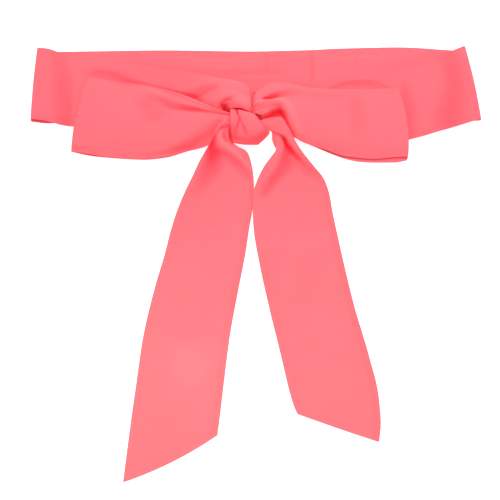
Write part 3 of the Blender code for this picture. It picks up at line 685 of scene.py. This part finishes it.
# The right tail: the step down from the strap's folded edge, the valley under it, and the left strip
STRAP_STEP = [
    Crest(20.5, -6.2, 0.9, 5.0, -0.8),
    Crest(23.0, -6.4, 0.9, 6.0, -1.4),
    Crest(26.4, -7.6, 0.9, 4.0, -1.4),
    Crest(30.6, -9.0, 0.9, 3.6, -2.4),
    Crest(33.4, -11.0, 0.9, 5.0, -4.4),
    Crest(36.4, -15.8, 0.9, 5.6, -4.2),
    Crest(40.0, -21.8, 0.9, 6.0, -3.0),
    Crest(45.2, -28.8, 1.1, 5.0, -1.6),
    Crest(51.0, -35.6, 1.4, 5.0, -0.5),
]
RIGHT_VALLEY = [
    Crest(33.4, -11.0, 2.4, 1.8, -1.6),
    Crest(35.3, -16.5, 4.0, 3.0, -2.6),
    Crest(35.4, -23.0, 9.0, 4.0, -3.0),
    Crest(34.0, -29.5, 16.0, 5.0, -2.8),
    Crest(32.6, -35.6, 16.0, 6.0, -2.6),
    Crest(30.0, -41.6, 12.0, 7.0, -2.4),
    Crest(25.4, -48.0, 9.0, 7.0, -2.2),
    Crest(19.4, -56.0, 8.0, 7.0, -1.6),
    Crest(13.0, -65.0, 7.0, 7.0, -0.8),
]
LEFT_STRIP = [
    Crest(26.6, -12.0, 3.0, 3.0, 0.6),
    Crest(27.6, -20.0, 3.4, 3.6, 1.0),
    Crest(24.4, -29.0, 4.0, 4.0, 0.8),
    Crest(18.0, -38.0, 4.0, 4.0, 0.3),
]
TAIL_RIGHT_FOLDS = [STRAP_STEP, RIGHT_VALLEY, LEFT_STRIP]
# Its painted shade: along the foot of the step, and where the valley runs out
RIGHT_TAIL_SHADE = [
    Crest(40.0, -20.6, 3.0, 4.0, -2.4),
    Crest(45.0, -27.6, 4.0, 6.0, -2.2),
    Crest(51.0, -35.0, 5.0, 9.0, -1.8),
    Crest(58.0, -42.0, 5.0, 10.0, -1.4),
    Crest(64.0, -48.0, 5.0, 8.0, -0.6),
]
RIGHT_BLADE_SHADE = [
    Crest(26, -43, 6, 6, -0.3),
    Crest(24, -52, 6, 6, -0.6),
    Crest(19, -61, 6, 6, -0.6),
    Crest(12, -70, 5, 5, 0.0),
]
TAIL_RIGHT_SHADES = [RIGHT_TAIL_SHADE, RIGHT_BLADE_SHADE]

# The knot's filling: the hidden layers, as one rounded lump of cloth
CORE_MIDDLE = (-1.2, -1.0)
CORE_HALF = (9.4, 11.4)
CORE_BOTTOM = 1.3
CORE_TOP = 16.6
CORE_FULLNESS = 2.6  # 2 is an ellipsoid, and more is fuller towards its corners

# The stage. The lamp's place and sizes are in metres, and the camera's aim is from the knot's middle.
TABLE_SIZE = 8.0
TABLE_DROP = 0.0001  # keeps the table clear of the cloth on it
LAMP_PLACE = (0.15, 0.75, 1.5)
LAMP_SIZE = 1.2
CAMERA_AIM = (2.0, -118.0, 0.0)
SENSOR_WIDTH = 36.0
WHITE = (1.0, 1.0, 1.0, 1.0)


class SashCloth(bpy.types.PropertyGroup):
    """What the sash is made of."""

    colour: bpy.props.FloatVectorProperty(
        name="Colour", description="Dye of the chiffon", subtype="COLOR", size=4, min=0.0, max=1.0,
        default=(1.0, 0.147, 0.18, 1.0),
    )
    # Paler colour, mixed in where white shows through the cloth and as painted light on raised cloth and
    # along the light lists
    pale_dye_and_painted_light: bpy.props.FloatVectorProperty(
        name="Pale colour", description="Dye where one ribbon lies alone on the white table",
        subtype="COLOR", size=4, min=0.0, max=1.0, default=(1.0, 0.23, 0.245, 1.0),
    )
    # Deeper colour, mixed in as painted shade down in folds and along the shade lists, and for uneven
    # dye, thread gaps and the seam allowance
    deep_dye_and_painted_shade: bpy.props.FloatVectorProperty(
        name="Deep colour", description="Dye where many layers lie close, down in a fold",
        subtype="COLOR", size=4, min=0.0, max=1.0, default=(0.94, 0.03, 0.055, 1.0),
    )
    near_step: bpy.props.FloatProperty(
        name="Step near the knot", description="Distance between lines of points, near the knot",
        default=0.0008, min=0.0004, max=0.01, unit="LENGTH",
    )
    far_step: bpy.props.FloatProperty(
        name="Step far out", description="Distance between lines of points, far from the knot",
        default=0.0015, min=0.0005, max=0.01, unit="LENGTH",
    )
    ripple: bpy.props.FloatProperty(
        name="Ripple", description="Height of the soft unevenness of cloth that is laid out by hand",
        default=0.0005, min=0.0, max=0.003, unit="LENGTH",
    )
    thread_pitch: bpy.props.FloatProperty(
        name="Thread pitch", description="Distance from one thread to the next",
        default=0.0005, min=0.0002, max=0.003, unit="LENGTH",
    )


class SashStage(bpy.types.PropertyGroup):
    """The table, the light and the camera."""

    table_colour: bpy.props.FloatVectorProperty(
        name="Table colour", description="Colour of the table", subtype="COLOR", size=4,
        min=0.0, max=1.0, default=(0.6, 0.6, 0.6, 1.0),
    )
    table_glow: bpy.props.FloatProperty(
        name="Table glow", description="Light that the table gives off, as a lit table does",
        default=0.8, min=0.0, max=5.0,
    )
    sky_strength: bpy.props.FloatProperty(
        name="Sky strength", description="Strength of the even light from all round",
        default=0.85, min=0.0, max=10.0,
    )
    lamp_power: bpy.props.FloatProperty(
        name="Lamp power", description="Power of the large soft lamp above the waist, in watts",
        default=16.0, min=0.0, max=500.0, unit="POWER",
    )
    camera_distance: bpy.props.FloatProperty(
        name="Camera distance", description="Distance from the camera to the place it looks at",
        default=1.2, min=0.2, max=10.0, unit="LENGTH",
    )
    camera_tilt: bpy.props.FloatProperty(
        name="Camera tilt", description="How far the camera leans from looking straight down",
        default=math.radians(20.0), min=0.0, max=math.radians(90.0), unit="ROTATION",
    )
    lens: bpy.props.FloatProperty(
        name="Lens", description="Focal length of the camera", default=95.47, min=10.0, max=300.0,
        unit="CAMERA",
    )


def cloth_settings():
    """What the sash is made of, as set in the scene."""
    return bpy.context.scene.sash_cloth


def only(piece):
    """Selects this piece alone, and makes it the active one."""
    bpy.ops.object.select_all(action="DESELECT")
    piece.select_set(True)
    bpy.context.view_layer.objects.active = piece


def smooth_values(places, values, at):
    """Values at other places, on a smooth curve through the rows that never swings past them."""
    steps = np.diff(places)[:, None]
    slopes = np.diff(values, axis=0) / steps
    tangents = np.zeros_like(values)
    tangents[0], tangents[-1] = slopes[0], slopes[-1]
    before, after = slopes[:-1], slopes[1:]
    same_way = before * after > 0
    weight_before = 2 * steps[1:] + steps[:-1]
    weight_after = steps[1:] + 2 * steps[:-1]
    safe_before = np.where(same_way, before, 1.0)
    safe_after = np.where(same_way, after, 1.0)
    mean = (weight_before + weight_after) / (weight_before / safe_before + weight_after / safe_after)
    tangents[1:-1] = np.where(same_way, mean, 0.0)
    start = np.clip(np.searchsorted(places, at, side="right") - 1, 0, len(places) - 2)
    length = (places[start + 1] - places[start])[:, None]
    share = (at - places[start])[:, None] / length
    return (
        (2 * share**3 - 3 * share**2 + 1) * values[start]
        + (share**3 - 2 * share**2 + share) * length * tangents[start]
        + (3 * share**2 - 2 * share**3) * values[start + 1]
        + (share**3 - share**2) * length * tangents[start + 1]
    )


def stations(length, knot_at_end):
    """Places along a run of cloth, closer together near the knot."""
    settings = cloth_settings()
    near, far = settings.near_step / MM, settings.far_step / MM
    fine = np.linspace(0.0, length, FINE_PLACES)
    away = length - fine if knot_at_end else fine
    ease = np.clip((away - FINE_REACH) / FINE_FADE, 0.0, 1.0)
    density = 1.0 / (near + (far - near) * ease)
    gaps = (density[1:] + density[:-1]) / 2 * np.diff(fine)
    counted = np.concatenate([[0.0], np.cumsum(gaps)])
    lines = max(int(math.ceil(counted[-1])), FEWEST_LINES)
    return np.interp(np.linspace(0.0, counted[-1], lines + 1), counted, fine)


def distances_along(line):
    """How far each point of a line is from its first, along it."""
    return np.concatenate([[0.0], np.cumsum(np.linalg.norm(np.diff(line, axis=0), axis=1))])


def run_of_points(rows, across, knot_at_end=False):
    """The points of a run of cloth, one line of them for each place along it."""
    table = np.array(rows, float)
    places = distances_along((table[:, 0:3] + table[:, 3:6]) / 2)
    sections = smooth_values(places, table, stations(places[-1], knot_at_end))
    share = np.linspace(0.0, 1.0, across + 1)[None, :, None]
    first, second = sections[:, None, 0:3], sections[:, None, 3:6]
    points = first + (second - first) * share
    arch = 4 * share[..., 0] * (1 - share[..., 0])
    way = (second - first)[:, 0, :2]
    left = np.stack([-way[:, 1], way[:, 0]], axis=1) / np.linalg.norm(way, axis=1)[:, None]
    points[..., 2] += sections[:, 6:7] * arch
    points[..., :2] += left[:, None, :] * (sections[:, 7:8] * arch)[..., None]
    return points


def fold_heights(points, folds):
    """How far the folds lift or press each point."""
    heights = np.zeros(points.shape[:-1])
    for fold in folds:
        table = np.array(fold, float)
        places = distances_along(table[:, :2])
        line = smooth_values(places, table, np.linspace(0.0, places[-1], POINTS_PER_CREST * len(fold)))
        nearest = np.full(heights.shape, np.inf)
        shaped = np.zeros(heights.shape)
        for start, end in zip(line[:-1], line[1:]):
            length = np.linalg.norm(end[:2] - start[:2])
            way = (end[:2] - start[:2]) / length
            offset = points[..., :2] - start[:2]
            along = np.clip(offset @ way, 0.0, length)
            beside = np.linalg.norm(offset - along[..., None] * way, axis=-1)
            left, right, rise = (
                start[column] + (end[column] - start[column]) * along / length for column in (2, 3, 4)
            )
            leftward = way[0] * offset[..., 1] - way[1] * offset[..., 0]
            reach = np.where(leftward > 0, left, right)
            fade = 0.5 + 0.5 * np.cos(np.pi * np.clip(beside / reach, 0.0, 1.0))
            closer = beside < nearest
            nearest = np.where(closer, beside, nearest)
            shaped = np.where(closer, rise * fade, shaped)
        heights += shaped
    return heights


def painted_shading_at(points, heights, shades):
    """Painted shading at each point: painted shade down in folds and shades, and below zero, painted
    light on raised cloth and lights.
    """
    down = (-heights - fold_heights(points, shades)) / DEEPEST
    return np.sign(down) * np.minimum(np.abs(down), 1.0) ** DEEPENING


def ripple_heights(points, seed):
    """The soft unevenness of laid cloth, from nothing up to the ripple height."""
    values = [
        noise.noise(Vector((x / LONG_WAVES[0] + seed, y / LONG_WAVES[1], seed * LAYER_STEP)))
        + SHORT_SHARE * noise.noise(Vector((x / SHORT_WAVES[0], y / SHORT_WAVES[1] + seed, seed)))
        for x, y, _ in points.reshape(-1, 3)
    ]
    waves = np.array(values).reshape(points.shape[:-1])
    return cloth_settings().ripple / MM * (RIPPLE_MEAN + RIPPLE_SWING * waves)


def turn(upper, lower):
    """The half round of an end fold, from the last line of the upper run to the lower run's first."""
    middle, half = (upper + lower) / 2, (upper - lower) / 2
    outward = np.cross(upper[-1] - upper[0], half)
    outward[:, 2] = 0.0
    outward /= np.linalg.norm(outward, axis=1)[:, None]
    away = np.sign(outward[:, 0:1]) * np.sign(middle[:, 0:1])
    outward *= away * np.linalg.norm(half, axis=1)[:, None]
    angles = [math.pi * (step + 1) / (FOLD_STEPS + 1) for step in range(FOLD_STEPS)]
    return np.array([middle + half * math.cos(a) + outward * math.sin(a) for a in angles])


def shell_of_cloth(name, sheet, stands_for, pale=(0.0, 0.0)):
    """A thin shell under a sheet's lines of points, whose first lines face up on their outer side.

    sheet is the points and their painted shading, with painted shade in folds above zero and painted
    light on raised cloth below it, and pale is how much white shows through the cloth, at even steps from
    its first line to its last.
    """
    points, painted_shading = sheet
    along, across = points.shape[0] - 1, points.shape[1] - 1
    bpy.ops.object.select_all(action="DESELECT")
    bpy.ops.mesh.primitive_grid_add(x_subdivisions=across, y_subdivisions=along, size=1.0)
    piece = bpy.context.object
    piece.name = piece.data.name = name
    piece.data.vertices.foreach_set("co", ((points + KNOT) * MM).reshape(-1))
    steps = np.linalg.norm(np.diff(points, axis=0), axis=2).mean(axis=1)
    run = np.concatenate([[0.0], np.cumsum(steps)]) * MM
    width = np.linspace(0.0, RIBBON_WIDTH * MM, across + 1)
    on_ribbon = np.stack(np.broadcast_arrays(run[:, None], width[None, :]), axis=-1).reshape(-1, 2)
    corners = np.empty(len(piece.data.loops), np.int32)
    piece.data.loops.foreach_get("vertex_index", corners)
    ribbon = piece.data.uv_layers.active
    ribbon.name = "ribbon"
    ribbon.data.foreach_set("uv", on_ribbon[corners].reshape(-1))
    # Painted shade: the colour deepens where this is above zero, down in folds and along the shade lists
    depth = piece.data.attributes.new("painted_fold_shade", "FLOAT", "POINT")
    depth.data.foreach_set("value", np.clip(painted_shading, 0.0, 1.0).reshape(-1))
    # Paleness where white shows through the cloth, plus painted light on raised cloth and along the light
    # lists
    seen = piece.data.attributes.new("show_through", "FLOAT", "POINT")
    evenly = np.linspace(0.0, run[-1], len(pale))
    pale_and_painted_light = np.interp(run, evenly, pale)[:, None] + np.clip(-painted_shading, 0.0, 1.0)
    seen.data.foreach_set("value", pale_and_painted_light.reshape(-1))
    piece.data.update()
    only(piece)
    # Where a run goes the other way round, its faces look the wrong way and are turned.
    onward = points[2, across // 2] - points[1, across // 2]
    if np.cross(onward, points[1, -1] - points[1, 0])[2] > 0:
        bpy.ops.object.mode_set(mode="EDIT")
        bpy.ops.mesh.select_all(action="SELECT")
        bpy.ops.mesh.flip_normals()
        bpy.ops.object.mode_set(mode="OBJECT")
    wall = piece.modifiers.new("Wall", "SOLIDIFY")
    wall.thickness = WALL * MM
    wall.offset = -1.0
    bpy.ops.object.modifier_apply(modifier=wall.name)
    bpy.ops.object.shade_smooth_by_angle(angle=SMOOTH_ANGLE)
    piece.data.materials.append(chiffon_material(name))
    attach(piece, "root")
    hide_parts(stands_for)


def on_the_table(points):
    """The points, with none so low that the cloth would go through the table."""
    points[..., 2] = np.maximum(points[..., 2], FLAT)
    return points


def kept_above(points, below):
    """The points, lifted where their cloth would sink into the outer faces of the cloth below."""
    places = below.reshape(-1, 3)
    tree = kdtree.KDTree(len(places))
    for number, (x, y, _) in enumerate(places):
        tree.insert((x, y, 0.0), number)
    tree.balance()
    for point in points.reshape(-1, 3):
        _, number, distance = tree.find((point[0], point[1], 0.0))
        if distance < NEAR_ENOUGH:
            point[2] = max(point[2], places[number][2] + WALL + CLEARANCE)
    return points


def top_of(name):
    """The points of a made piece that face up, in millimetres from the middle of the knot."""
    vertices = bpy.data.objects[name].data.vertices
    places, normals = (np.empty(3 * len(vertices), np.float32) for _ in range(2))
    vertices.foreach_get("co", places)
    vertices.foreach_get("normal", normals)
    points = places.reshape(-1, 3) / MM - KNOT
    return points[normals.reshape(-1, 3)[:, 2] > 0.0]


def open_sheet(rows, folds, shades, across, seed, ripple=1.0, below=None):
    """The points of cloth that is open at both its ends, and the painted shading at each."""
    points = run_of_points(rows, across)
    heights = fold_heights(points, folds)
    painted_shading = painted_shading_at(points, heights, shades)
    points[..., 2] += heights + ripple * ripple_heights(points, seed)
    if below is not None:
        points = kept_above(points, below)
    return on_the_table(points), painted_shading


def folded_sheet(top, under, folds, shades, across, seed, ripple=1.0, droop=(), under_shades=()):
    """The points of cloth that turns back at its end and runs on underneath, with its painted shading.

    droop is the sag of both its layers, and under_shades are the painted shade of the lower one.
    """
    upper, lower = run_of_points(top, across), run_of_points(under, across, knot_at_end=True)
    heights = fold_heights(upper, folds)
    upper_painted_shading = painted_shading_at(upper, heights, shades)
    lift = ripple * ripple_heights(upper, seed)
    end = np.linspace(0.0, 1.0, len(upper))[:, None]
    lift *= np.clip((1.0 - end) * RIPPLE_FADE, 0.0, 1.0)
    upper[..., 2] += heights + lift + fold_heights(upper, droop)
    lower[..., 2] += fold_heights(lower, droop)
    if droop:
        upper[:-1] = kept_above(upper[:-1], lower + np.array([0.0, 0.0, WALL]))
    points = np.concatenate([upper, turn(upper[-1], lower[0]), lower])
    painted_shading = np.zeros(points.shape[:-1])
    painted_shading[: len(upper)] = upper_painted_shading
    painted_shading[-len(lower) :] = painted_shading_at(lower, 0.0, under_shades)
    return points, painted_shading


def node_group(name, inputs, outputs):
    """A new shader node group with named sockets, each given as (name, kind)."""
    group = bpy.data.node_groups.new(name, "ShaderNodeTree")
    for way, sockets in (("INPUT", inputs), ("OUTPUT", outputs)):
        for label, kind in sockets:
            group.interface.new_socket(label, in_out=way, socket_type="NodeSocket" + kind)
    return group, group.nodes.new("NodeGroupInput"), group.nodes.new("NodeGroupOutput")


def feed(tree, node, values):
    """Sets a node's inputs, given by name or number, to values, or links sockets to them."""
    for place, value in values.items():
        if isinstance(value, bpy.types.NodeSocket):
            tree.links.new(value, node.inputs[place])
        elif value is not None:
            node.inputs[place].default_value = value
    return node


def added(tree, kind, values):
    """A new node of this kind, with its inputs fed."""
    return feed(tree, tree.nodes.new("ShaderNode" + kind), values)


def maths(tree, operation, first, second=None, clamp=False):
    """The result of a Math node, whose inputs are sockets or numbers."""
    node = added(tree, "Math", {0: first, 1: second})
    node.operation = operation
    node.use_clamp = clamp
    return node.outputs[0]


def mixed(tree, share, first, second):
    """The result of a Mix node between two colours, which are its inputs 6 and 7 and its output 2."""
    node = tree.nodes.new("ShaderNodeMix")
    node.data_type = "RGBA"
    return feed(tree, node, {0: share, 6: first, 7: second}).outputs[2]


def attribute(tree, name):
    """The value of one of the mesh's attributes."""
    node = tree.nodes.new("ShaderNodeAttribute")
    node.attribute_name = name
    return node.outputs["Fac"]


def weave_group(name):
    """Plain weave: threads that go over and under each other, and the gaps between them."""
    group, given, made = node_group(
        name, [("Ribbon", "Vector"), ("Pitch", "Float")], [("Height", "Float"), ("Gap", "Float")]
    )
    apart = added(group, "SeparateXYZ", {0: given.outputs["Ribbon"]})
    waves = []
    for axis in ("X", "Y"):
        turns = maths(group, "DIVIDE", apart.outputs[axis], given.outputs["Pitch"])
        waves.append(maths(group, "SINE", maths(group, "MULTIPLY", turns, math.pi)))
    over = maths(group, "MULTIPLY", waves[0], waves[1])
    height = maths(group, "ADD", maths(group, "MULTIPLY", over, 0.5), 0.5)
    threads = maths(group, "MAXIMUM", *(maths(group, "ABSOLUTE", wave) for wave in waves))
    gap = maths(group, "SUBTRACT", 1.0, threads, clamp=True)
    feed(group, made, {"Height": height, "Gap": gap})
    return group


def crinkle_group(name):
    """The fine uneven crinkle of crepe yarns, longer along the ribbon than across it."""
    group, given, made = node_group(
        name, [("Ribbon", "Vector"), ("Size", "Float")], [("Height", "Float")]
    )
    stretch = added(group, "Mapping", {"Vector": given.outputs["Ribbon"], "Scale": (0.45, 1.0, 1.0)})
    scale = maths(group, "DIVIDE", 1.0, given.outputs["Size"])
    grain = added(
        group, "TexNoise",
        {"Vector": stretch.outputs[0], "Scale": scale, "Detail": 3.0, "Roughness": 0.55},
    )
    feed(group, made, {"Height": grain.outputs["Fac"]})
    return group


def seam_group(name):
    """The seam allowance inside the tube: a strip along one edge where the cloth is twice as thick."""
    group, given, made = node_group(
        name,
        [("Ribbon", "Vector"), ("Ribbon width", "Float"), ("Allowance", "Float")],
        [("Mask", "Float")],
    )
    apart = added(group, "SeparateXYZ", {0: given.outputs["Ribbon"]})
    inside = maths(group, "SUBTRACT", given.outputs["Ribbon width"], apart.outputs["Y"])
    left = maths(group, "SUBTRACT", given.outputs["Allowance"], inside)
    feed(group, made, {"Mask": maths(group, "MULTIPLY", left, SEAM_SHARPNESS, clamp=True)})
    return group


def placed_group(tree, name, make, values):
    """A group in a material, made when it is first asked for, with its inputs fed."""
    node = tree.nodes.new("ShaderNodeGroup")
    node.node_tree = bpy.data.node_groups.get(name) or make(name)
    return feed(tree, node, values)


def chiffon_material(name):
    """Dyed, woven and crinkled chiffon, with painted shade down in the folds, painted light on raised
    cloth, and paler where it is thin.
    """
    settings = cloth_settings()
    material = bpy.data.materials.new(name + "_chiffon")
    material.use_nodes = True
    tree = material.node_tree
    shader = tree.nodes["Principled BSDF"]
    ribbon = tree.nodes.new("ShaderNodeUVMap")
    ribbon.uv_map = "ribbon"
    along = ribbon.outputs[0]
    weave = placed_group(
        tree, "Plain weave", weave_group, {"Ribbon": along, "Pitch": settings.thread_pitch}
    )
    crinkle = placed_group(
        tree, "Crepe crinkle", crinkle_group, {"Ribbon": along, "Size": CRINKLE_SIZE * MM}
    )
    seam = placed_group(
        tree, "Seam allowance", seam_group,
        {"Ribbon": along, "Ribbon width": RIBBON_WIDTH * MM, "Allowance": SEAM_ALLOWANCE * MM},
    )
    place = tree.nodes.new("ShaderNodeTexCoord")
    bloom = added(tree, "TexNoise", {"Vector": place.outputs["Object"], "Scale": 14.0, "Detail": 2.0})
    bloomed = maths(tree, "MULTIPLY", bloom.outputs["Fac"], BLOOM_SHARE)
    gaps = maths(tree, "MULTIPLY", weave.outputs["Gap"], GAP_SHARE)
    sewn = maths(tree, "MULTIPLY", seam.outputs["Mask"], SEAM_SHARE)
    # Painted shade from the folds and shade lists, with the real uneven dye, thread gaps and seam
    # allowance added
    painted_shade_and_dye = maths(tree, "ADD", attribute(tree, "painted_fold_shade"), bloomed)
    painted_shade_and_dye = maths(tree, "ADD", maths(tree, "ADD", painted_shade_and_dye, gaps), sewn, clamp=True)
    # Paler where white shows through, and painted light on raised cloth and along the light lists
    dye_with_painted_light = mixed(tree, attribute(tree, "show_through"), settings.colour, settings.pale_dye_and_painted_light)
    uneven = maths(tree, "MULTIPLY", crinkle.outputs["Height"], CRINKLE_ROUGHNESS)
    coarse = added(
        tree, "Bump", {"Strength": 0.5, "Distance": 0.0003, "Height": crinkle.outputs["Height"]}
    )
    fine = added(
        tree, "Bump", {"Strength": 0.4, "Distance": 0.00006, "Height": weave.outputs["Height"]}
    )
    feed(tree, fine, {"Normal": coarse.outputs[0]})
    finish = {
        "Base Color": mixed(tree, painted_shade_and_dye, dye_with_painted_light, settings.deep_dye_and_painted_shade),
        "Roughness": maths(tree, "ADD", uneven, ROUGHNESS),
        "Specular IOR Level": 0.25,
        "Sheen Weight": 0.12,
        "Sheen Roughness": 0.45,
        "Sheen Tint": (1.0, 0.55, 0.58, 1.0),
        "Subsurface Weight": 0.3,
        "Subsurface Radius": (1.0, 0.22, 0.2),
        "Subsurface Scale": 0.003,
        "Normal": fine.outputs[0],
    }
    feed(tree, shader, finish)
    return material


class SASH_OT_waist(bpy.types.Operator):
    """Lay the back of the waist flat, and fold its two fronts over it"""

    bl_idname = "sash.waist"
    bl_label = "Waist"

    def execute(self, context):
        shell_of_cloth(
            "waist_back_cloth",
            open_sheet(WAIST_BACK, WAIST_BACK_FOLDS, WAIST_BACK_SHADES, across=50, seed=1.3, ripple=0.6),
            stands_for="waist_back", pale=(0.0, 0.08),
        )
        shell_of_cloth(
            "waist_left_cloth",
            folded_sheet(
                WAIST_LEFT_TOP, WAIST_LEFT_UNDER, WAIST_LEFT_FOLDS, WAIST_LEFT_SHADES,
                across=56, seed=4.1, ripple=0.7,
            ),
            stands_for="waist_front_left",
        )
        shell_of_cloth(
            "waist_right_cloth",
            folded_sheet(
                WAIST_RIGHT_TOP, WAIST_RIGHT_UNDER, WAIST_RIGHT_FOLDS, WAIST_RIGHT_SHADES,
                across=56, seed=7.7, ripple=0.7,
            ),
            stands_for="waist_front_right",
        )
        return {"FINISHED"}


class SASH_OT_loops(bpy.types.Operator):
    """Fold the two loops of the bow"""

    bl_idname = "sash.loops"
    bl_label = "Bow loops"

    def execute(self, context):
        shell_of_cloth(
            "loop_left_cloth",
            folded_sheet(
                LOOP_LEFT_TOP, LOOP_LEFT_UNDER, LOOP_LEFT_FOLDS, LOOP_LEFT_SHADES,
                across=64, seed=11.2, droop=LOOP_LEFT_DROOP, under_shades=LOOP_LEFT_UNDER_SHADES,
            ),
            stands_for="bow_loop_left", pale=(0.11, 0.08),
        )
        shell_of_cloth(
            "loop_right_cloth",
            folded_sheet(
                LOOP_RIGHT_TOP, LOOP_RIGHT_UNDER, LOOP_RIGHT_FOLDS, LOOP_RIGHT_SHADES,
                across=64, seed=15.9, droop=LOOP_RIGHT_DROOP, under_shades=LOOP_RIGHT_UNDER_SHADES,
            ),
            stands_for="bow_loop_right", pale=(0.15, 0.08),
        )
        return {"FINISHED"}


class SASH_OT_knot(bpy.types.Operator):
    """Tie the knot: the layers inside it, and the band that wraps them"""

    bl_idname = "sash.knot"
    bl_label = "Knot"

    def execute(self, context):
        shell_of_cloth(
            "knot_cloth",
            open_sheet(KNOT_WRAP, KNOT_FOLDS, KNOT_SHADES, across=70, seed=20.4, ripple=0.2),
            stands_for="knot_wrap",
        )
        bpy.ops.object.select_all(action="DESELECT")
        bpy.ops.mesh.primitive_uv_sphere_add(segments=64, ring_count=32, radius=1.0)
        filling = bpy.context.object
        filling.name = filling.data.name = "knot_filling"
        middle = KNOT + np.array([*CORE_MIDDLE, (CORE_TOP + CORE_BOTTOM) / 2])
        half = np.array([*CORE_HALF, (CORE_TOP - CORE_BOTTOM) / 2])
        for vertex in filling.data.vertices:
            reach = sum(abs(value) ** CORE_FULLNESS for value in vertex.co) ** (-1 / CORE_FULLNESS)
            vertex.co = (middle + np.array(vertex.co) * reach * half) * MM
        filling.data.uv_layers.active.name = "ribbon"
        filling.data.materials.append(chiffon_material("knot_filling"))
        only(filling)
        bpy.ops.object.shade_smooth()
        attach(filling, "root")
        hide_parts("knot_core")
        return {"FINISHED"}


class SASH_OT_tails(bpy.types.Operator):
    """Lay out the two tails below the knot"""

    bl_idname = "sash.tails"
    bl_label = "Tails"

    def execute(self, context):
        shell_of_cloth(
            "tail_left_cloth",
            open_sheet(
                TAIL_LEFT, TAIL_LEFT_FOLDS, TAIL_LEFT_PAINTED_LIGHT,
                across=64, seed=24.8, below=top_of("loop_left_cloth"),
            ),
            stands_for="tail_left", pale=(0.0, 0.21, 0.44, 0.76, 0.67),
        )
        shell_of_cloth(
            "tail_right_cloth",
            open_sheet(
                TAIL_RIGHT, TAIL_RIGHT_FOLDS, TAIL_RIGHT_SHADES,
                across=64, seed=29.5, below=top_of("loop_right_cloth"),
            ),
            stands_for="tail_right", pale=(0.0, 0.17, 0.32, 0.46, 0.52),
        )
        return {"FINISHED"}


class SASH_OT_stage(bpy.types.Operator):
    """Set the table, the light and the camera"""

    bl_idname = "sash.stage"
    bl_label = "Table, light and camera"

    def execute(self, context):
        settings = context.scene.sash_stage
        bpy.ops.object.select_all(action="DESELECT")
        bpy.ops.mesh.primitive_plane_add(size=TABLE_SIZE, location=(0.0, 0.0, -TABLE_DROP))
        table = bpy.context.object
        table.name = "table"
        surface = bpy.data.materials.new("table_surface")
        surface.use_nodes = True
        finish = {
            "Base Color": settings.table_colour,
            "Roughness": 0.9,
            "Specular IOR Level": 0.1,
            "Emission Color": WHITE,
            "Emission Strength": settings.table_glow,
        }
        feed(surface.node_tree, surface.node_tree.nodes["Principled BSDF"], finish)
        table.data.materials.append(surface)
        world = bpy.data.worlds.new("sky")
        world.use_nodes = True
        light = {"Color": WHITE, "Strength": settings.sky_strength}
        feed(world.node_tree, world.node_tree.nodes["Background"], light)
        context.scene.world = world
        bpy.ops.object.light_add(type="AREA", location=LAMP_PLACE)
        lamp = bpy.context.object
        lamp.name = "soft_lamp"
        lamp.data.shape = "DISK"
        lamp.data.size = LAMP_SIZE
        lamp.data.energy = settings.lamp_power
        lamp.rotation_mode = "QUATERNION"
        lamp.rotation_quaternion = (-lamp.location).to_track_quat("-Z", "Y")
        target = Vector((KNOT + CAMERA_AIM) * MM)
        tilt = settings.camera_tilt
        back = Vector((0.0, -math.sin(tilt), math.cos(tilt)))
        bpy.ops.object.camera_add(location=target + back * settings.camera_distance)
        camera = bpy.context.object
        camera.name = "photo_camera"
        camera.data.lens = settings.lens
        camera.data.sensor_width = SENSOR_WIDTH
        camera.rotation_mode = "QUATERNION"
        camera.rotation_quaternion = (-back).to_track_quat("-Z", "Y")
        context.scene.camera = camera
        context.scene.view_settings.view_transform = "Standard"
        return {"FINISHED"}


class SASH_PT_panel(bpy.types.Panel):
    """Lists the steps that make the sash, and what can be changed"""

    bl_label = "Chiffon sash"
    bl_idname = "SASH_PT_panel"
    bl_space_type = "VIEW_3D"
    bl_region_type = "UI"
    bl_category = "Sash"

    def draw(self, context):
        layout = self.layout
        for operator in OPERATORS:
            layout.operator(operator.bl_idname)
        for settings in (context.scene.sash_cloth, context.scene.sash_stage):
            box = layout.box()
            for name in settings.bl_rna.properties.keys():
                if name not in ("rna_type", "name"):
                    box.prop(settings, name)


OPERATORS = (SASH_OT_waist, SASH_OT_loops, SASH_OT_knot, SASH_OT_tails, SASH_OT_stage)
CLASSES = (SashCloth, SashStage, *OPERATORS, SASH_PT_panel)


def register():
    for cls in CLASSES:
        bpy.utils.register_class(cls)
    bpy.types.Scene.sash_cloth = bpy.props.PointerProperty(type=SashCloth)
    bpy.types.Scene.sash_stage = bpy.props.PointerProperty(type=SashStage)


def unregister():
    del bpy.types.Scene.sash_stage
    del bpy.types.Scene.sash_cloth
    for cls in reversed(CLASSES):
        bpy.utils.unregister_class(cls)


def main():
    register()
    bpy.ops.sash.waist()
    bpy.ops.sash.loops()
    bpy.ops.sash.knot()
    bpy.ops.sash.tails()
    bpy.ops.sash.stage()


if __name__ == "__main__":
    main()
